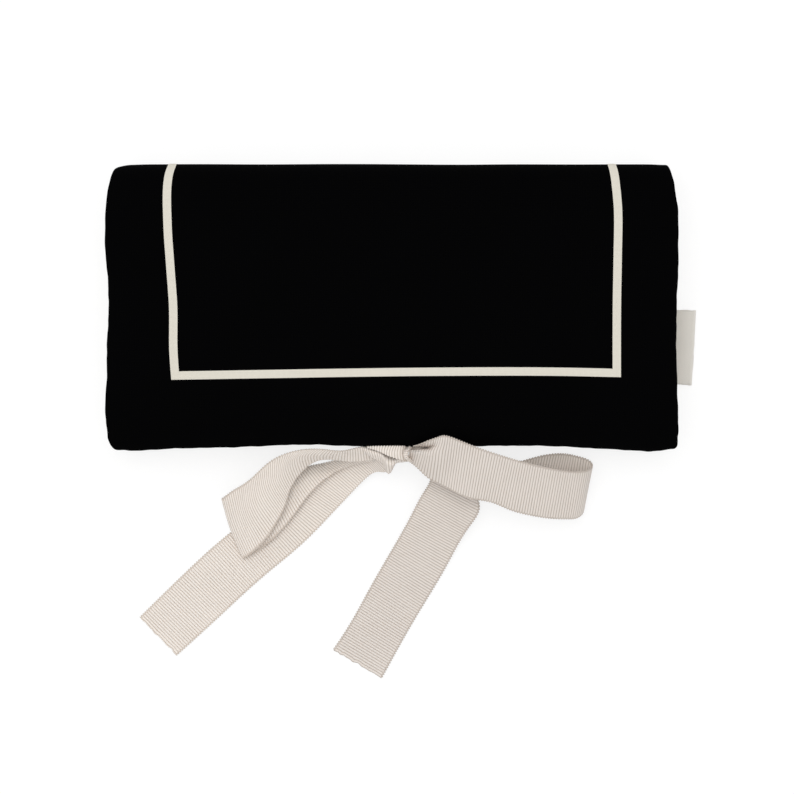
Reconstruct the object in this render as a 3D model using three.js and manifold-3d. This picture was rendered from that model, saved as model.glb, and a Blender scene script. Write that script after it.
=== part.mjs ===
// Fold-over jewelry case in padded canvas, closed and tied with a ribbon bow.
// Millimetres. X runs along the fold, Y from the free edges towards the fold, Z up.
// The origin is the middle of the back panel's underside.

import * as THREE from 'three';
import { mergeVertices } from 'three/addons/utils/BufferGeometryUtils.js';
import Module from 'manifold-3d';

const wasm = await Module();
wasm.setup();

// The closed case
const caseWidth = 240;
const panelDepth = 120;
const panelThickness = 5;

// Room inside, from the back lining up: a zip pocket, the fittings, a slip pocket
const pocketRoom = 5;
const fittingsRoom = 8;
const slipRoom = 5;

// Layers of each padded panel, from the outside in
const canvasThickness = 1.2;
const liningThickness = 0.8;
const canvasRim = 1.4;
const paddingInset = 5;

// Clearances
const seatGap = 0.3;
const foldGap = 0.3;
const paddingGap = 0.8;
const overrun = 2;

// Shape of the soft edges
const foldRadius = 8;
const edgeDrop = 2.6;
const edgeReach = 14;
const frontDrawIn = 2.3;
const sideDrawIn = 1;
const cornerRadius = 3.5;
const foldCornerDrawIn = 3.5;
const foldCornerReach = 12;

// Cream frame line let into the canvas
const lineWidth = 3.5;
const lineThickness = 0.4;
const lineLeftInset = 24;
const lineLeftLean = 2.5;
const lineRightInset = 22.6;
const lineFrontInset = 29;

// Folded label tab in the right edge seam, bare
const labelReach = 10.4;
const labelLength = 32;
const labelThickness = 1.4;
const labelFrontInset = 27.5;
const labelTaper = 1.2;
const labelFoldShare = 0.9;

// Zip pockets on the back lining, one behind the other
const pocketCount = 2;
const pocketSideInset = 12;
const pocketFrontInset = 8;
const pocketFoldInset = 8;
const pocketSheet = 0.8;
const pocketSlope = 5;
const pocketZipFromBack = 14;
const facingWidth = 4;

// Zips
const zipSideInset = 28;
const zipSlit = 1;
const toothPitch = 4;
const toothLength = 2.2;
const toothSpine = 0.7;
const toothThickness = 1.6;
const toothWidth = 1.7;
const tapeWidth = 4.6;
const tapeThickness = 0.6;
const stopLength = 2;
const sliderLength = 10;
const sliderWidth = 8.6;
const sliderPlate = 1;
const sliderPost = 0.5;
const sliderPostLength = 3;
const sliderFlange = 0.8;
const bailLength = 6;
const bailHeight = 2.8;
const bailBar = 1;
const bailWidth = 1.2;
const sliderShoulderShare = 0.4;
const sliderNoseShare = 0.7;
const pullLength = 14;
const pullWidth = 4;
const pullThickness = 1;
const pullHoleLength = 3.6;
const pullHoleWidth = 2;
const pullEndBar = 1;

// Slip pockets on the flap lining
const slipCount = 3;
const slipSideInset = 12;
const slipMouthFromFront = 34;
const slipBottomFromFold = 12;
const slipSheet = 0.8;
const slipSlope = 5;

// Ring bar on the flap lining
const barRadius = 4.6;
const barFromFront = 18;
const barLeftInset = 32;
const barRightInset = 44;
const barEndRound = 1.2;
const anchorLength = 18;
const anchorWidth = 9;
const anchorThickness = 0.8;
const anchorLap = 9;
const snapTabLength = 20;
const snapTabWidth = 12;
const snapTabThickness = 0.8;
const snapFlangeRadius = 5;
const snapFlange = 0.6;
const studRadius = 1.8;
const studLength = 1;
const socketRadius = 4.5;
const socketWall = 0.4;
const socketDepth = 1.7;
const capRadius = 5;
const capThickness = 0.8;

// Ribbons and bow
const ribbonWidth = 22;
const ribbonThickness = 0.8;
const knotReach = 4.3;
const knotFromMiddle = 5.6;
const knotHalfWidth = 4;
const knotHalfDepth = 3.6;
const knotHalfHeight = 6.2;
const knotHeightShare = 0.6;

const foldY = panelDepth / 2;
const frontY = -panelDepth / 2;
const halfWidth = caseWidth / 2;
const closedHeight = 2 * panelThickness + pocketRoom + fittingsRoom + slipRoom;
const innerLevel = closedHeight - panelThickness;
const mitreGap = foldGap * Math.SQRT1_2;
const foldArcEnd = foldRadius * (1 - Math.SQRT1_2);

// Materials
function cloth(color) {
  return new THREE.MeshStandardMaterial({ color, roughness: 0.95, metalness: 0 });
}

function metal(color) {
  return new THREE.MeshStandardMaterial({ color, roughness: 0.35, metalness: 1 });
}

const blackCanvas = cloth(0x0b0b0c);
const creamLine = cloth(0xe1dfd4);
const creamLining = cloth(0xd9d2c3);
const wadding = cloth(0xf2f0ea);
const creamRibbon = cloth(0xded3c6);
const zipCloth = cloth(0x1a1a1b);
const brass = metal(0xb79a5b);
const nickel = metal(0xb9b9b6);

// Makes a geometry one closed, indexed body with its faces pointing out
function closed(geometry) {
  geometry.deleteAttribute('normal');
  geometry.deleteAttribute('uv');
  const merged = mergeVertices(geometry);
  const position = merged.getAttribute('position');
  const index = merged.getIndex();
  const corners = [new THREE.Vector3(), new THREE.Vector3(), new THREE.Vector3()];
  let volume = 0;
  for (let i = 0; i < index.count; i += 3) {
    corners.forEach((corner, k) => corner.fromBufferAttribute(position, index.getX(i + k)));
    volume += corners[0].dot(corners[1].clone().cross(corners[2]));
  }
  if (volume < 0) {
    for (let i = 0; i < index.count; i += 3) {
      const first = index.getX(i);
      index.setX(i, index.getX(i + 1));
      index.setX(i + 1, first);
    }
  }
  return merged;
}

// A box of unit size, cut into segments, whose points are placed one by one
function shaped(segments, place) {
  const geometry = new THREE.BoxGeometry(1, 1, 1, ...segments);
  const position = geometry.getAttribute('position');
  for (let i = 0; i < position.count; i += 1) {
    const u = position.getX(i) + 0.5;
    const v = position.getY(i) + 0.5;
    const w = position.getZ(i) + 0.5;
    position.setXYZ(i, ...place(u, v, w));
  }
  return closed(geometry);
}

function block(low, high) {
  return shaped([1, 1, 1], (u, v, w) => [
    THREE.MathUtils.lerp(low[0], high[0], u),
    THREE.MathUtils.lerp(low[1], high[1], v),
    THREE.MathUtils.lerp(low[2], high[2], w),
  ]);
}

// Joins and cuts
function toSolid(geometry) {
  const whole = closed(geometry.clone());
  return new wasm.Manifold(new wasm.Mesh({
    numProp: 3,
    vertProperties: new Float32Array(whole.getAttribute('position').array),
    triVerts: new Uint32Array(whole.getIndex().array),
  }));
}

function toGeometry(solid) {
  const mesh = solid.getMesh();
  const geometry = new THREE.BufferGeometry();
  geometry.setAttribute('position', new THREE.BufferAttribute(new Float32Array(mesh.vertProperties), 3));
  geometry.setIndex(new THREE.BufferAttribute(new Uint32Array(mesh.triVerts), 1));
  return geometry;
}

function join(...geometries) {
  return toGeometry(geometries.map(toSolid).reduce((all, next) => all.add(next)));
}

function cut(geometry, ...tools) {
  return toGeometry(tools.map(toSolid).reduce((rest, tool) => rest.subtract(tool), toSolid(geometry)));
}

function common(first, second) {
  return toGeometry(toSolid(first).intersect(toSolid(second)));
}

function extruded(shape, depth) {
  return new THREE.ExtrudeGeometry(shape, { depth, bevelEnabled: false, curveSegments: 8 });
}

// Turns a profile drawn in Y and Z, and extruded, to run along X
function alongX(geometry, start) {
  const position = geometry.getAttribute('position');
  for (let i = 0; i < position.count; i += 1) {
    position.setXYZ(i, position.getZ(i) + start, position.getX(i), position.getY(i));
  }
  return closed(geometry);
}

function outline(points) {
  return new THREE.Shape(points.map(([x, y]) => new THREE.Vector2(x, y)));
}

// Named meshes, gathered into one group
const jewelryCase = new THREE.Group();

function piece(name, geometry, material) {
  const mesh = new THREE.Mesh(geometry, material);
  mesh.name = name;
  jewelryCase.add(mesh);
  return mesh;
}

// Closer steps near both ends of a run
function easedShare(share) {
  return (1 - Math.cos(Math.PI * share)) / 2;
}

// Quarter-round profile: 0 where the distance is past the reach, 1 at the very edge
function roundShare(distance, reach) {
  const share = THREE.MathUtils.clamp(1 - distance / reach, 0, 1);
  return 1 - Math.sqrt(1 - share * share);
}

// Plan outline of a panel: the free edge is drawn in at its middle, the sides near the fold
function frontEdge(x) {
  const across = THREE.MathUtils.clamp(x / halfWidth, -1, 1);
  const middle = frontDrawIn * Math.cos(across * Math.PI / 2) ** 2;
  return frontY + middle + cornerRadius * roundShare(halfWidth - Math.abs(x), cornerRadius);
}

function sideEdge(y) {
  const along = THREE.MathUtils.clamp((y - frontY) / panelDepth, 0, 1);
  const middle = sideDrawIn * Math.sin(along * Math.PI);
  return halfWidth - middle - foldCornerDrawIn * roundShare(foldY - y, foldCornerReach);
}

// Height of the outer face of the closed flap; the back panel is its mirror image
function outerLevel(x, y) {
  const reach = Math.min(y, foldY - foldArcEnd);
  const fromEdge = Math.min(sideEdge(reach) - Math.abs(x), reach - frontEdge(x));
  const edge = edgeDrop * roundShare(Math.max(fromEdge, 0), edgeReach);
  const fold = foldRadius * roundShare(foldY - reach, foldRadius);
  return closedHeight - Math.hypot(edge, fold);
}

// One layer of a panel between two height functions, inset from the sides and the free edge
function panelLayer({ inset, low, high, end, segments }) {
  return shaped(segments, (u, v, w) => {
    const across = easedShare(u) * 2 - 1;
    const flatX = across * (halfWidth - inset);
    const start = frontEdge(across * halfWidth) + inset;
    const y = THREE.MathUtils.lerp(start, end, easedShare(v));
    const x = flatX * (sideEdge(y) - inset) / (halfWidth - inset);
    return [x, y, w < 0.5 ? low(x, y) : high(x, y)];
  });
}

// The spine's share of the fold corners, a wedge between the two mitre planes
function spineWedge(grow) {
  const half = closedHeight / 2;
  const apex = foldY - half - grow;
  const far = foldY + overrun;
  const reach = far - apex;
  const wedge = extruded(outline([[apex, half], [far, half - reach], [far, half + reach]]), caseWidth + overrun);
  return alongX(wedge, -halfWidth - overrun / 2);
}

function skin(depth, rise) {
  return panelLayer({
    inset: 0,
    low: (x, y) => outerLevel(x, y) - depth,
    high: (x, y) => outerLevel(x, y) + rise,
    end: foldY,
    segments: [16, 12, 1],
  });
}

// The frame line's plan: up the left side, across the front, up the right side, open at the fold
function framePlan(grow) {
  const fold = foldY + overrun;
  const leftFold = -halfWidth + lineLeftInset;
  const leftFront = leftFold + lineLeftLean;
  const right = halfWidth - lineRightInset;
  const front = frontY + lineFrontInset;
  const shape = outline([
    [leftFold - grow, fold],
    [leftFront - grow, front - grow],
    [right + grow, front - grow],
    [right + grow, fold],
    [right - lineWidth - grow, fold],
    [right - lineWidth - grow, front + lineWidth + grow],
    [leftFront + lineWidth + grow, front + lineWidth + grow],
    [leftFold + lineWidth + grow, fold],
  ]);
  return extruded(shape, closedHeight + overrun);
}

// Turns a flap layer into the matching layer of the back panel
function mirrored(geometry) {
  const copy = geometry.clone();
  copy.scale(1, 1, -1);
  copy.translate(0, 0, closedHeight);
  return closed(copy);
}

// Padded panels: canvas, frame line, wadding and lining of the flap, and again of the back
function panelPieces() {
  const whole = panelLayer({
    inset: 0,
    low: () => innerLevel,
    high: outerLevel,
    end: foldY,
    segments: [18, 14, 1],
  });
  const hollow = panelLayer({
    inset: canvasRim,
    low: () => innerLevel - overrun,
    high: (x, y) => outerLevel(x, y) - canvasThickness,
    end: foldY + overrun,
    segments: [12, 10, 1],
  });
  const groove = common(skin(lineThickness + seatGap, overrun), framePlan(seatGap));
  const line = common(skin(lineThickness, 0), framePlan(0));
  const padding = panelLayer({
    inset: canvasRim + paddingInset,
    low: () => innerLevel + liningThickness + seatGap,
    high: (x, y) => outerLevel(x, y) - canvasThickness - paddingGap,
    end: foldY - foldRadius,
    segments: [8, 8, 1],
  });
  const lining = panelLayer({
    inset: canvasRim + seatGap,
    low: () => innerLevel,
    high: () => innerLevel + liningThickness,
    end: foldY,
    segments: [8, 6, 1],
  });
  const wedge = spineWedge(foldGap * Math.SQRT2);
  return {
    canvas: cut(whole, hollow, groove, wedge),
    line: cut(line, wedge),
    padding,
    lining: cut(lining, wedge),
  };
}

const flap = panelPieces();
piece('outer_canvas_flap', flap.canvas, blackCanvas);
piece('frame_line_flap', flap.line, creamLine);
piece('padding_flap', flap.padding, wadding);
piece('lining_flap', flap.lining, creamLining);
piece('outer_canvas_back', mirrored(flap.canvas), blackCanvas);
piece('frame_line_back', mirrored(flap.line), creamLine);
piece('padding_back', mirrored(flap.padding), wadding);
piece('lining_back', mirrored(flap.lining), creamLining);

// Spine: a padded strip between the two folds, with mitred long edges
const spineHalfWidth = halfWidth - foldCornerDrawIn;

function spineFace(x, z) {
  const fold = foldRadius * roundShare(Math.min(z, closedHeight - z), foldRadius);
  const end = edgeDrop * roundShare(spineHalfWidth - Math.abs(x), edgeReach);
  return foldY - Math.hypot(fold, end);
}

// One layer of the spine between two faces, each a function of the place on it
function spineLayer({ left, right, inside, outside, edge, segments }) {
  const layer = shaped(segments, (u, v, w) => {
    const x = THREE.MathUtils.lerp(left, right, easedShare(u));
    const z = THREE.MathUtils.lerp(edge, closedHeight - edge, easedShare(v));
    return [x, w < 0.5 ? inside(x, z) : outside(x, z), z];
  });
  return common(layer, spineWedge(0));
}

const spineInner = foldY - panelThickness;

function spineLine(name, left) {
  const groove = spineLayer({
    left: left - seatGap,
    right: left + lineWidth + seatGap,
    inside: (x, z) => spineFace(x, z) - lineThickness - seatGap,
    outside: (x, z) => spineFace(x, z) + overrun,
    edge: foldArcEnd / 2,
    segments: [1, 16, 1],
  });
  const line = spineLayer({
    left,
    right: left + lineWidth,
    inside: (x, z) => spineFace(x, z) - lineThickness,
    outside: spineFace,
    edge: foldArcEnd,
    segments: [1, 16, 1],
  });
  piece(name, line, creamLine);
  return groove;
}

const spineGrooves = [
  spineLine('frame_line_spine_left', -halfWidth + lineLeftInset),
  spineLine('frame_line_spine_right', halfWidth - lineRightInset - lineWidth),
];
const spineCanvas = spineLayer({
  left: -spineHalfWidth,
  right: spineHalfWidth,
  inside: (x, z) => spineFace(x, z) - canvasThickness,
  outside: spineFace,
  edge: foldArcEnd,
  segments: [10, 10, 1],
});
const spinePadding = spineLayer({
  left: -spineHalfWidth + edgeReach,
  right: spineHalfWidth - edgeReach,
  inside: () => spineInner + liningThickness + seatGap,
  outside: (x, z) => spineFace(x, z) - canvasThickness - paddingGap,
  edge: foldRadius,
  segments: [1, 2, 1],
});
const spineLining = spineLayer({
  left: -spineHalfWidth + canvasRim,
  right: spineHalfWidth - canvasRim,
  inside: () => spineInner,
  outside: (x, z) => Math.min(spineInner + liningThickness, spineFace(x, z) - canvasThickness - seatGap),
  edge: foldArcEnd,
  segments: [10, 10, 1],
});
piece('outer_canvas_spine', cut(spineCanvas, ...spineGrooves), blackCanvas);
piece('padding_spine', spinePadding, wadding);
piece('lining_spine', spineLining, creamLining);

// Folded label tab, bare, its raw end in the right edge seam of the back panel
const labelStart = sideEdge(frontY + labelFrontInset + labelLength / 2) + seatGap;
const labelLevel = panelThickness / 2;
piece('label_tab', shaped([6, 1, 1], (u, v, w) => {
  const round = labelFoldShare * labelThickness * roundShare((1 - u) * labelReach, labelThickness);
  const front = frontY + labelFrontInset + labelTaper * u;
  return [
    labelStart + labelReach * u,
    THREE.MathUtils.lerp(front, frontY + labelFrontInset + labelLength - labelTaper * u, v),
    labelLevel + (w - 0.5) * (labelThickness - round),
  ];
}), creamRibbon);

// Zip pockets
const zipLevel = panelThickness + pocketRoom + pocketSheet / 2;
const zipEnd = halfWidth - zipSideInset;
const pocketEnd = halfWidth - pocketSideInset;
const toothTip = zipSlit / 2;
const toothRoot = toothTip + toothWidth;
const tapeInner = toothRoot + seatGap;
const tapeOuter = tapeInner + tapeWidth;

// The place at one of the breaks of a run, for a share of its steps
function atBreak(places, share) {
  return places[Math.round(share * (places.length - 1))];
}

const pocketSeat = panelThickness + seatGap;
const pocketRise = pocketRoom - seatGap;
const tapeRise = zipLevel - tapeThickness / 2 - pocketSeat;
const pocketBreaks = [-pocketEnd, -pocketEnd + pocketSlope, pocketEnd - pocketSlope, pocketEnd];

// A sheet of a pocket: sewn down at its left and right ends, and raised in between by each row's rise
function pocketSheetPiece(rows, rises, thickness) {
  return shaped([pocketBreaks.length - 1, rows.length - 1, 1], (u, v, w) => {
    const x = atBreak(pocketBreaks, u);
    const raised = Math.abs(x) < pocketEnd ? atBreak(rises, v) : 0;
    return [x, atBreak(rows, v), pocketSeat + raised + w * thickness];
  });
}

// A comb of teeth on one side of the zip, its tips towards the middle
function toothRow(side, middle) {
  const count = Math.floor(2 * zipEnd / toothPitch);
  const points = [[zipEnd, toothRoot], [-zipEnd, toothRoot]];
  const shift = side > 0 ? 0 : toothPitch / 2;
  for (let i = 0; i < count - 1; i += 1) {
    const start = -zipEnd + i * toothPitch + shift;
    points.push([start, toothRoot - toothSpine], [start, toothTip]);
    points.push([start + toothLength, toothTip], [start + toothLength, toothRoot - toothSpine]);
  }
  points.push([zipEnd, toothRoot - toothSpine]);
  const row = extruded(outline(points.map(([x, y]) => [x, middle + side * y])), toothThickness);
  row.translate(0, 0, zipLevel - toothThickness / 2);
  return closed(row);
}

const sliderTop = zipLevel + toothThickness / 2 + seatGap;
const sliderBottom = zipLevel - toothThickness / 2 - seatGap;
const sliderRest = zipEnd - sliderLength / 2 - seatGap;
const bailFoot = sliderTop + sliderPlate;
const pullLevel = bailFoot + seatGap;

function sliderPiece(middle) {
  const half = sliderLength / 2;
  const side = sliderWidth / 2;
  const shield = outline([
    [sliderRest - half, middle - side],
    [sliderRest + half * sliderShoulderShare, middle - side],
    [sliderRest + half, middle - side * sliderNoseShare],
    [sliderRest + half, middle + side * sliderNoseShare],
    [sliderRest + half * sliderShoulderShare, middle + side],
    [sliderRest - half, middle + side],
  ]);
  const top = extruded(shield, sliderPlate);
  top.translate(0, 0, sliderTop);
  const bottom = extruded(shield, sliderPlate);
  bottom.translate(0, 0, sliderBottom - sliderPlate);
  const post = block(
    [sliderRest - sliderPostLength / 2, middle - sliderPost / 2, sliderBottom - sliderPlate / 2],
    [sliderRest + sliderPostLength / 2, middle + sliderPost / 2, sliderTop + sliderPlate / 2],
  );
  const flangeLow = zipLevel + tapeThickness / 2 + seatGap;
  const flanges = [-1, 1].map((sign) => block(
    [sliderRest - half, middle + sign * side - (sign > 0 ? sliderFlange : 0), flangeLow],
    [sliderRest + half * sliderShoulderShare, middle + sign * side + (sign > 0 ? 0 : sliderFlange), bailFoot],
  ));
  const reach = bailLength / 2;
  const arch = outline([
    [sliderRest - reach, bailFoot - sliderPlate / 2],
    [sliderRest - reach + bailBar, bailFoot - sliderPlate / 2],
    [sliderRest - reach + bailBar, bailFoot + bailHeight - bailBar],
    [sliderRest + reach - bailBar, bailFoot + bailHeight - bailBar],
    [sliderRest + reach - bailBar, bailFoot - sliderPlate / 2],
    [sliderRest + reach, bailFoot - sliderPlate / 2],
    [sliderRest + reach, bailFoot + bailHeight - bailBar / 2],
    [sliderRest + reach - bailBar / 2, bailFoot + bailHeight],
    [sliderRest - reach + bailBar / 2, bailFoot + bailHeight],
    [sliderRest - reach, bailFoot + bailHeight - bailBar / 2],
  ]);
  const bail = extruded(arch, bailWidth);
  bail.rotateX(Math.PI / 2);
  bail.translate(0, middle + bailWidth / 2, 0);
  return join(top, bottom, post, ...flanges, bail);
}

// The pull lies on the slider, its end bar under the bail
function pullPiece(middle) {
  const start = sliderRest - pullEndBar / 2;
  const neck = start + pullEndBar + pullHoleLength + pullEndBar;
  const half = pullWidth / 2;
  const end = start + pullLength;
  const shape = outline([
    [start, middle - half],
    [neck, middle - half],
    [end - half, middle - half],
    [end, middle - half / 2],
    [end, middle + half / 2],
    [end - half, middle + half],
    [neck, middle + half],
    [start, middle + half],
  ]);
  const holeStart = start + pullEndBar;
  const holeHalf = pullHoleWidth / 2;
  const hole = new THREE.Path([
    new THREE.Vector2(holeStart, middle - holeHalf),
    new THREE.Vector2(holeStart, middle + holeHalf),
    new THREE.Vector2(holeStart + pullHoleLength, middle + holeHalf),
    new THREE.Vector2(holeStart + pullHoleLength, middle - holeHalf),
  ]);
  shape.holes.push(hole);
  const pull = extruded(shape, pullThickness);
  pull.translate(0, 0, pullLevel);
  return closed(pull);
}

const pocketPitch = (panelDepth - pocketFrontInset - pocketFoldInset) / pocketCount;
const pocketNames = ['front', 'fold'].slice(0, pocketCount);
pocketNames.forEach((name, i) => {
  const front = frontY + pocketFrontInset + i * pocketPitch;
  const middle = front + pocketPitch - pocketZipFromBack;
  const sheetEnd = middle - tapeOuter - seatGap;
  const facing = middle + tapeOuter + seatGap;
  piece(`pocket_front_${name}`, pocketSheetPiece(
    [front, front + pocketSlope, sheetEnd],
    [0, pocketRise, pocketRise],
    pocketSheet,
  ), creamLining);
  piece(`zip_tape_lower_${name}`, pocketSheetPiece(
    [middle - tapeOuter, middle - tapeInner],
    [tapeRise, tapeRise],
    tapeThickness,
  ), zipCloth);
  piece(`zip_tape_upper_${name}`, pocketSheetPiece(
    [middle + tapeInner, middle + tapeOuter],
    [tapeRise, tapeRise],
    tapeThickness,
  ), zipCloth);
  piece(`pocket_facing_${name}`, pocketSheetPiece(
    [facing, facing + facingWidth],
    [pocketRise, 0],
    pocketSheet,
  ), creamLining);
  piece(`zip_teeth_lower_${name}`, toothRow(-1, middle), nickel);
  piece(`zip_teeth_upper_${name}`, toothRow(1, middle), nickel);
  [-1, 1].forEach((side) => {
    const near = side * (zipEnd + seatGap);
    const far = side * (zipEnd + seatGap + stopLength);
    piece(`zip_stop_${name}_${side < 0 ? 'left' : 'right'}`, block(
      [Math.min(near, far), middle - toothRoot, zipLevel - toothThickness / 2],
      [Math.max(near, far), middle + toothRoot, zipLevel + toothThickness / 2],
    ), nickel);
  });
  piece(`zip_slider_${name}`, sliderPiece(middle), nickel);
  piece(`zip_pull_${name}`, pullPiece(middle), nickel);
});

// Slip pockets: a sheet over each, sewn down along its sides and its bottom, open towards the ring bar
const slipPitch = (caseWidth - 2 * slipSideInset) / slipCount;
const slipSeat = innerLevel - seatGap;
const slipRise = slipRoom - seatGap;
const slipMouth = frontY + slipMouthFromFront;
const slipBottom = foldY - slipBottomFromFold;
const slipRows = [slipMouth, slipBottom - slipSlope, slipBottom];

function slipPocket(left) {
  const right = left + slipPitch - seatGap;
  const breaks = [left, left + slipSlope, right - slipSlope, right];
  return shaped([breaks.length - 1, slipRows.length - 1, 1], (u, v, w) => {
    const x = atBreak(breaks, u);
    const y = atBreak(slipRows, v);
    const raised = x > left && x < right && y < slipBottom ? slipRise : 0;
    return [x, y, slipSeat - raised - (1 - w) * slipSheet];
  });
}

for (let i = 0; i < slipCount; i += 1) {
  piece(`slip_pocket_${i + 1}`, slipPocket(-halfWidth + slipSideInset + i * slipPitch), creamLining);
}

// Ring bar: a padded roll, sewn down at its left end and snapped down at its right end
const barY = frontY + barFromFront;
const barLeft = -halfWidth + barLeftInset;
const barRight = halfWidth - barRightInset;
const barLength = barRight - barLeft;
const anchorTop = innerLevel - seatGap;
const barTop = anchorTop - anchorThickness - seatGap;
const barAxis = barTop - barRadius;

// A turned piece that hangs down from its top: its profile gives the radius at each depth
function turned(profile, x, y, top) {
  const geometry = new THREE.LatheGeometry(profile.map(([r, h]) => new THREE.Vector2(r, h)), 20);
  geometry.rotateX(-Math.PI / 2);
  geometry.translate(x, y, top);
  return closed(geometry);
}

const rollProfile = [
  [0, 0],
  [barRadius - barEndRound, 0],
  [barRadius, barEndRound],
  [barRadius, barLength - barEndRound],
  [barRadius - barEndRound, barLength],
  [0, barLength],
];
const roll = new THREE.LatheGeometry(rollProfile.map(([r, h]) => new THREE.Vector2(r, h)), 16);
roll.rotateZ(-Math.PI / 2);
roll.translate(barLeft, barY, barAxis);
piece('ring_bar_roll', closed(roll), creamLining);
piece('ring_bar_anchor', block(
  [barLeft + anchorLap - anchorLength, barY - anchorWidth / 2, anchorTop - anchorThickness],
  [barLeft + anchorLap, barY + anchorWidth / 2, anchorTop],
), creamLining);

const snapX = barRight + snapTabLength - snapTabWidth / 2;
const studTop = innerLevel - seatGap;
const socketTop = studTop - snapFlange - seatGap;
const socketEnd = socketTop - socketDepth;
const tabTop = socketEnd - seatGap;
const capTop = tabTop - snapTabThickness - seatGap;
piece('snap_stud', turned([
  [0, 0],
  [snapFlangeRadius, 0],
  [snapFlangeRadius, snapFlange],
  [studRadius, snapFlange],
  [studRadius, snapFlange + studLength],
  [0, snapFlange + studLength],
], snapX, barY, studTop), brass);
piece('snap_socket', turned([
  [0, socketDepth - socketWall],
  [studRadius + seatGap, socketDepth - socketWall],
  [studRadius + seatGap, 0],
  [socketRadius, 0],
  [socketRadius, socketDepth],
  [0, socketDepth],
], snapX, barY, socketTop), brass);
const tabShape = outline([
  [barRight + seatGap, barY - snapTabWidth / 2],
  [snapX + snapTabWidth / 4, barY - snapTabWidth / 2],
  [snapX + snapTabWidth / 2, barY - snapTabWidth / 4],
  [snapX + snapTabWidth / 2, barY + snapTabWidth / 4],
  [snapX + snapTabWidth / 4, barY + snapTabWidth / 2],
  [barRight + seatGap, barY + snapTabWidth / 2],
]);
const snapTab = extruded(tabShape, snapTabThickness);
snapTab.translate(0, 0, tabTop - snapTabThickness);
piece('ring_bar_snap_tab', closed(snapTab), creamLining);
piece('snap_cap', turned([
  [0, 0],
  [capRadius, 0],
  [capRadius, capThickness / 2],
  [capRadius - capThickness, capThickness],
  [0, capThickness],
], snapX, barY, capTop), brass);

// Ribbons and bow. The photograph shows the bow from straight above, so the plan of each ribbon is the pair
// of pixels on its two edges, and its heights over the table are shares of the closed height.
const ribbonPixels = 52.5;
const knotPixel = [405.5, 454];
const pixelSize = ribbonWidth / ribbonPixels;
const knotX = knotFromMiddle;
const knotY = frontEdge(0) - knotReach;

function bowPoint(pixel, heightShare) {
  return new THREE.Vector3(
    knotX + (pixel[0] - knotPixel[0]) * pixelSize,
    knotY - (pixel[1] - knotPixel[1]) * pixelSize,
    heightShare * closedHeight,
  );
}

// A flat strip between two edge curves
function strip(firstEdge, secondEdge, steps) {
  const first = new THREE.CatmullRomCurve3(firstEdge);
  const second = new THREE.CatmullRomCurve3(secondEdge);
  const small = 1 / (steps * 4);
  return shaped([steps, 1, 1], (u, v, w) => {
    const a = first.getPoint(u);
    const b = second.getPoint(u);
    const before = Math.max(u - small, 0);
    const after = Math.min(u + small, 1);
    const run = first.getPoint(after).add(second.getPoint(after));
    run.sub(first.getPoint(before)).sub(second.getPoint(before));
    const face = run.cross(b.clone().sub(a)).normalize();
    const point = a.lerp(b, v).addScaledVector(face, (w - 0.5) * ribbonThickness);
    return [point.x, point.y, point.z];
  });
}

function bowStrip(pixels, heightShares, steps) {
  return strip(
    pixels.map((pair, i) => bowPoint(pair[0], heightShares[i][0])),
    pixels.map((pair, i) => bowPoint(pair[1], heightShares[i][1])),
    steps,
  );
}

// Left loop: out from the knot on edge, over at the left fold, and back underneath
const leftLoopPixels = [
  [[391, 452], [391, 459]],
  [[366, 448], [366, 460]],
  [[345, 450], [345, 461]],
  [[316, 449], [318, 461]],
  [[293, 451], [303, 471]],
  [[280, 455], [292, 486]],
  [[265, 465], [285, 505]],
  [[250, 480], [273, 529]],
  [[233, 489], [257, 548]],
  [[222, 499], [243, 558]],
  [[233, 491], [254, 552]],
  [[250, 484], [270, 541]],
  [[262, 474], [284, 524]],
  [[276, 463], [300, 501]],
  [[296, 452], [318, 482]],
  [[322, 449], [336, 468]],
  [[350, 450], [352, 463]],
  [[388, 454], [388, 461]],
];
const leftLoopHeightShares = [
  [0.76, 0.54],
  [0.88, 0.5],
  [0.92, 0.42],
  [0.92, 0.3],
  [0.9, 0.3],
  [0.78, 0.26],
  [0.6, 0.24],
  [0.42, 0.22],
  [0.3, 0.18],
  [0.2, 0.12],
  [0.12, 0.06],
  [0.13, 0.07],
  [0.18, 0.09],
  [0.22, 0.11],
  [0.22, 0.13],
  [0.24, 0.17],
  [0.3, 0.24],
  [0.46, 0.36],
];

// Left tail: from the knot down onto the table
const leftTailPixels = [
  [[384, 456], [391, 464]],
  [[370, 458], [382, 471]],
  [[350, 462], [366, 478]],
  [[326, 468], [350, 494]],
  [[300, 478], [335, 510]],
  [[270, 497], [305, 541]],
  [[230, 533], [264, 576]],
  [[185, 577], [222, 613]],
  [[141, 618], [178, 654]],
];
const leftTailHeightShares = [
  [0.36, 0.36],
  [0.26, 0.28],
  [0.18, 0.2],
  [0.1, 0.12],
  [0.05, 0.06],
  [0.03, 0.03],
  [0.03, 0.03],
  [0.03, 0.03],
  [0.03, 0.03],
];

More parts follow.
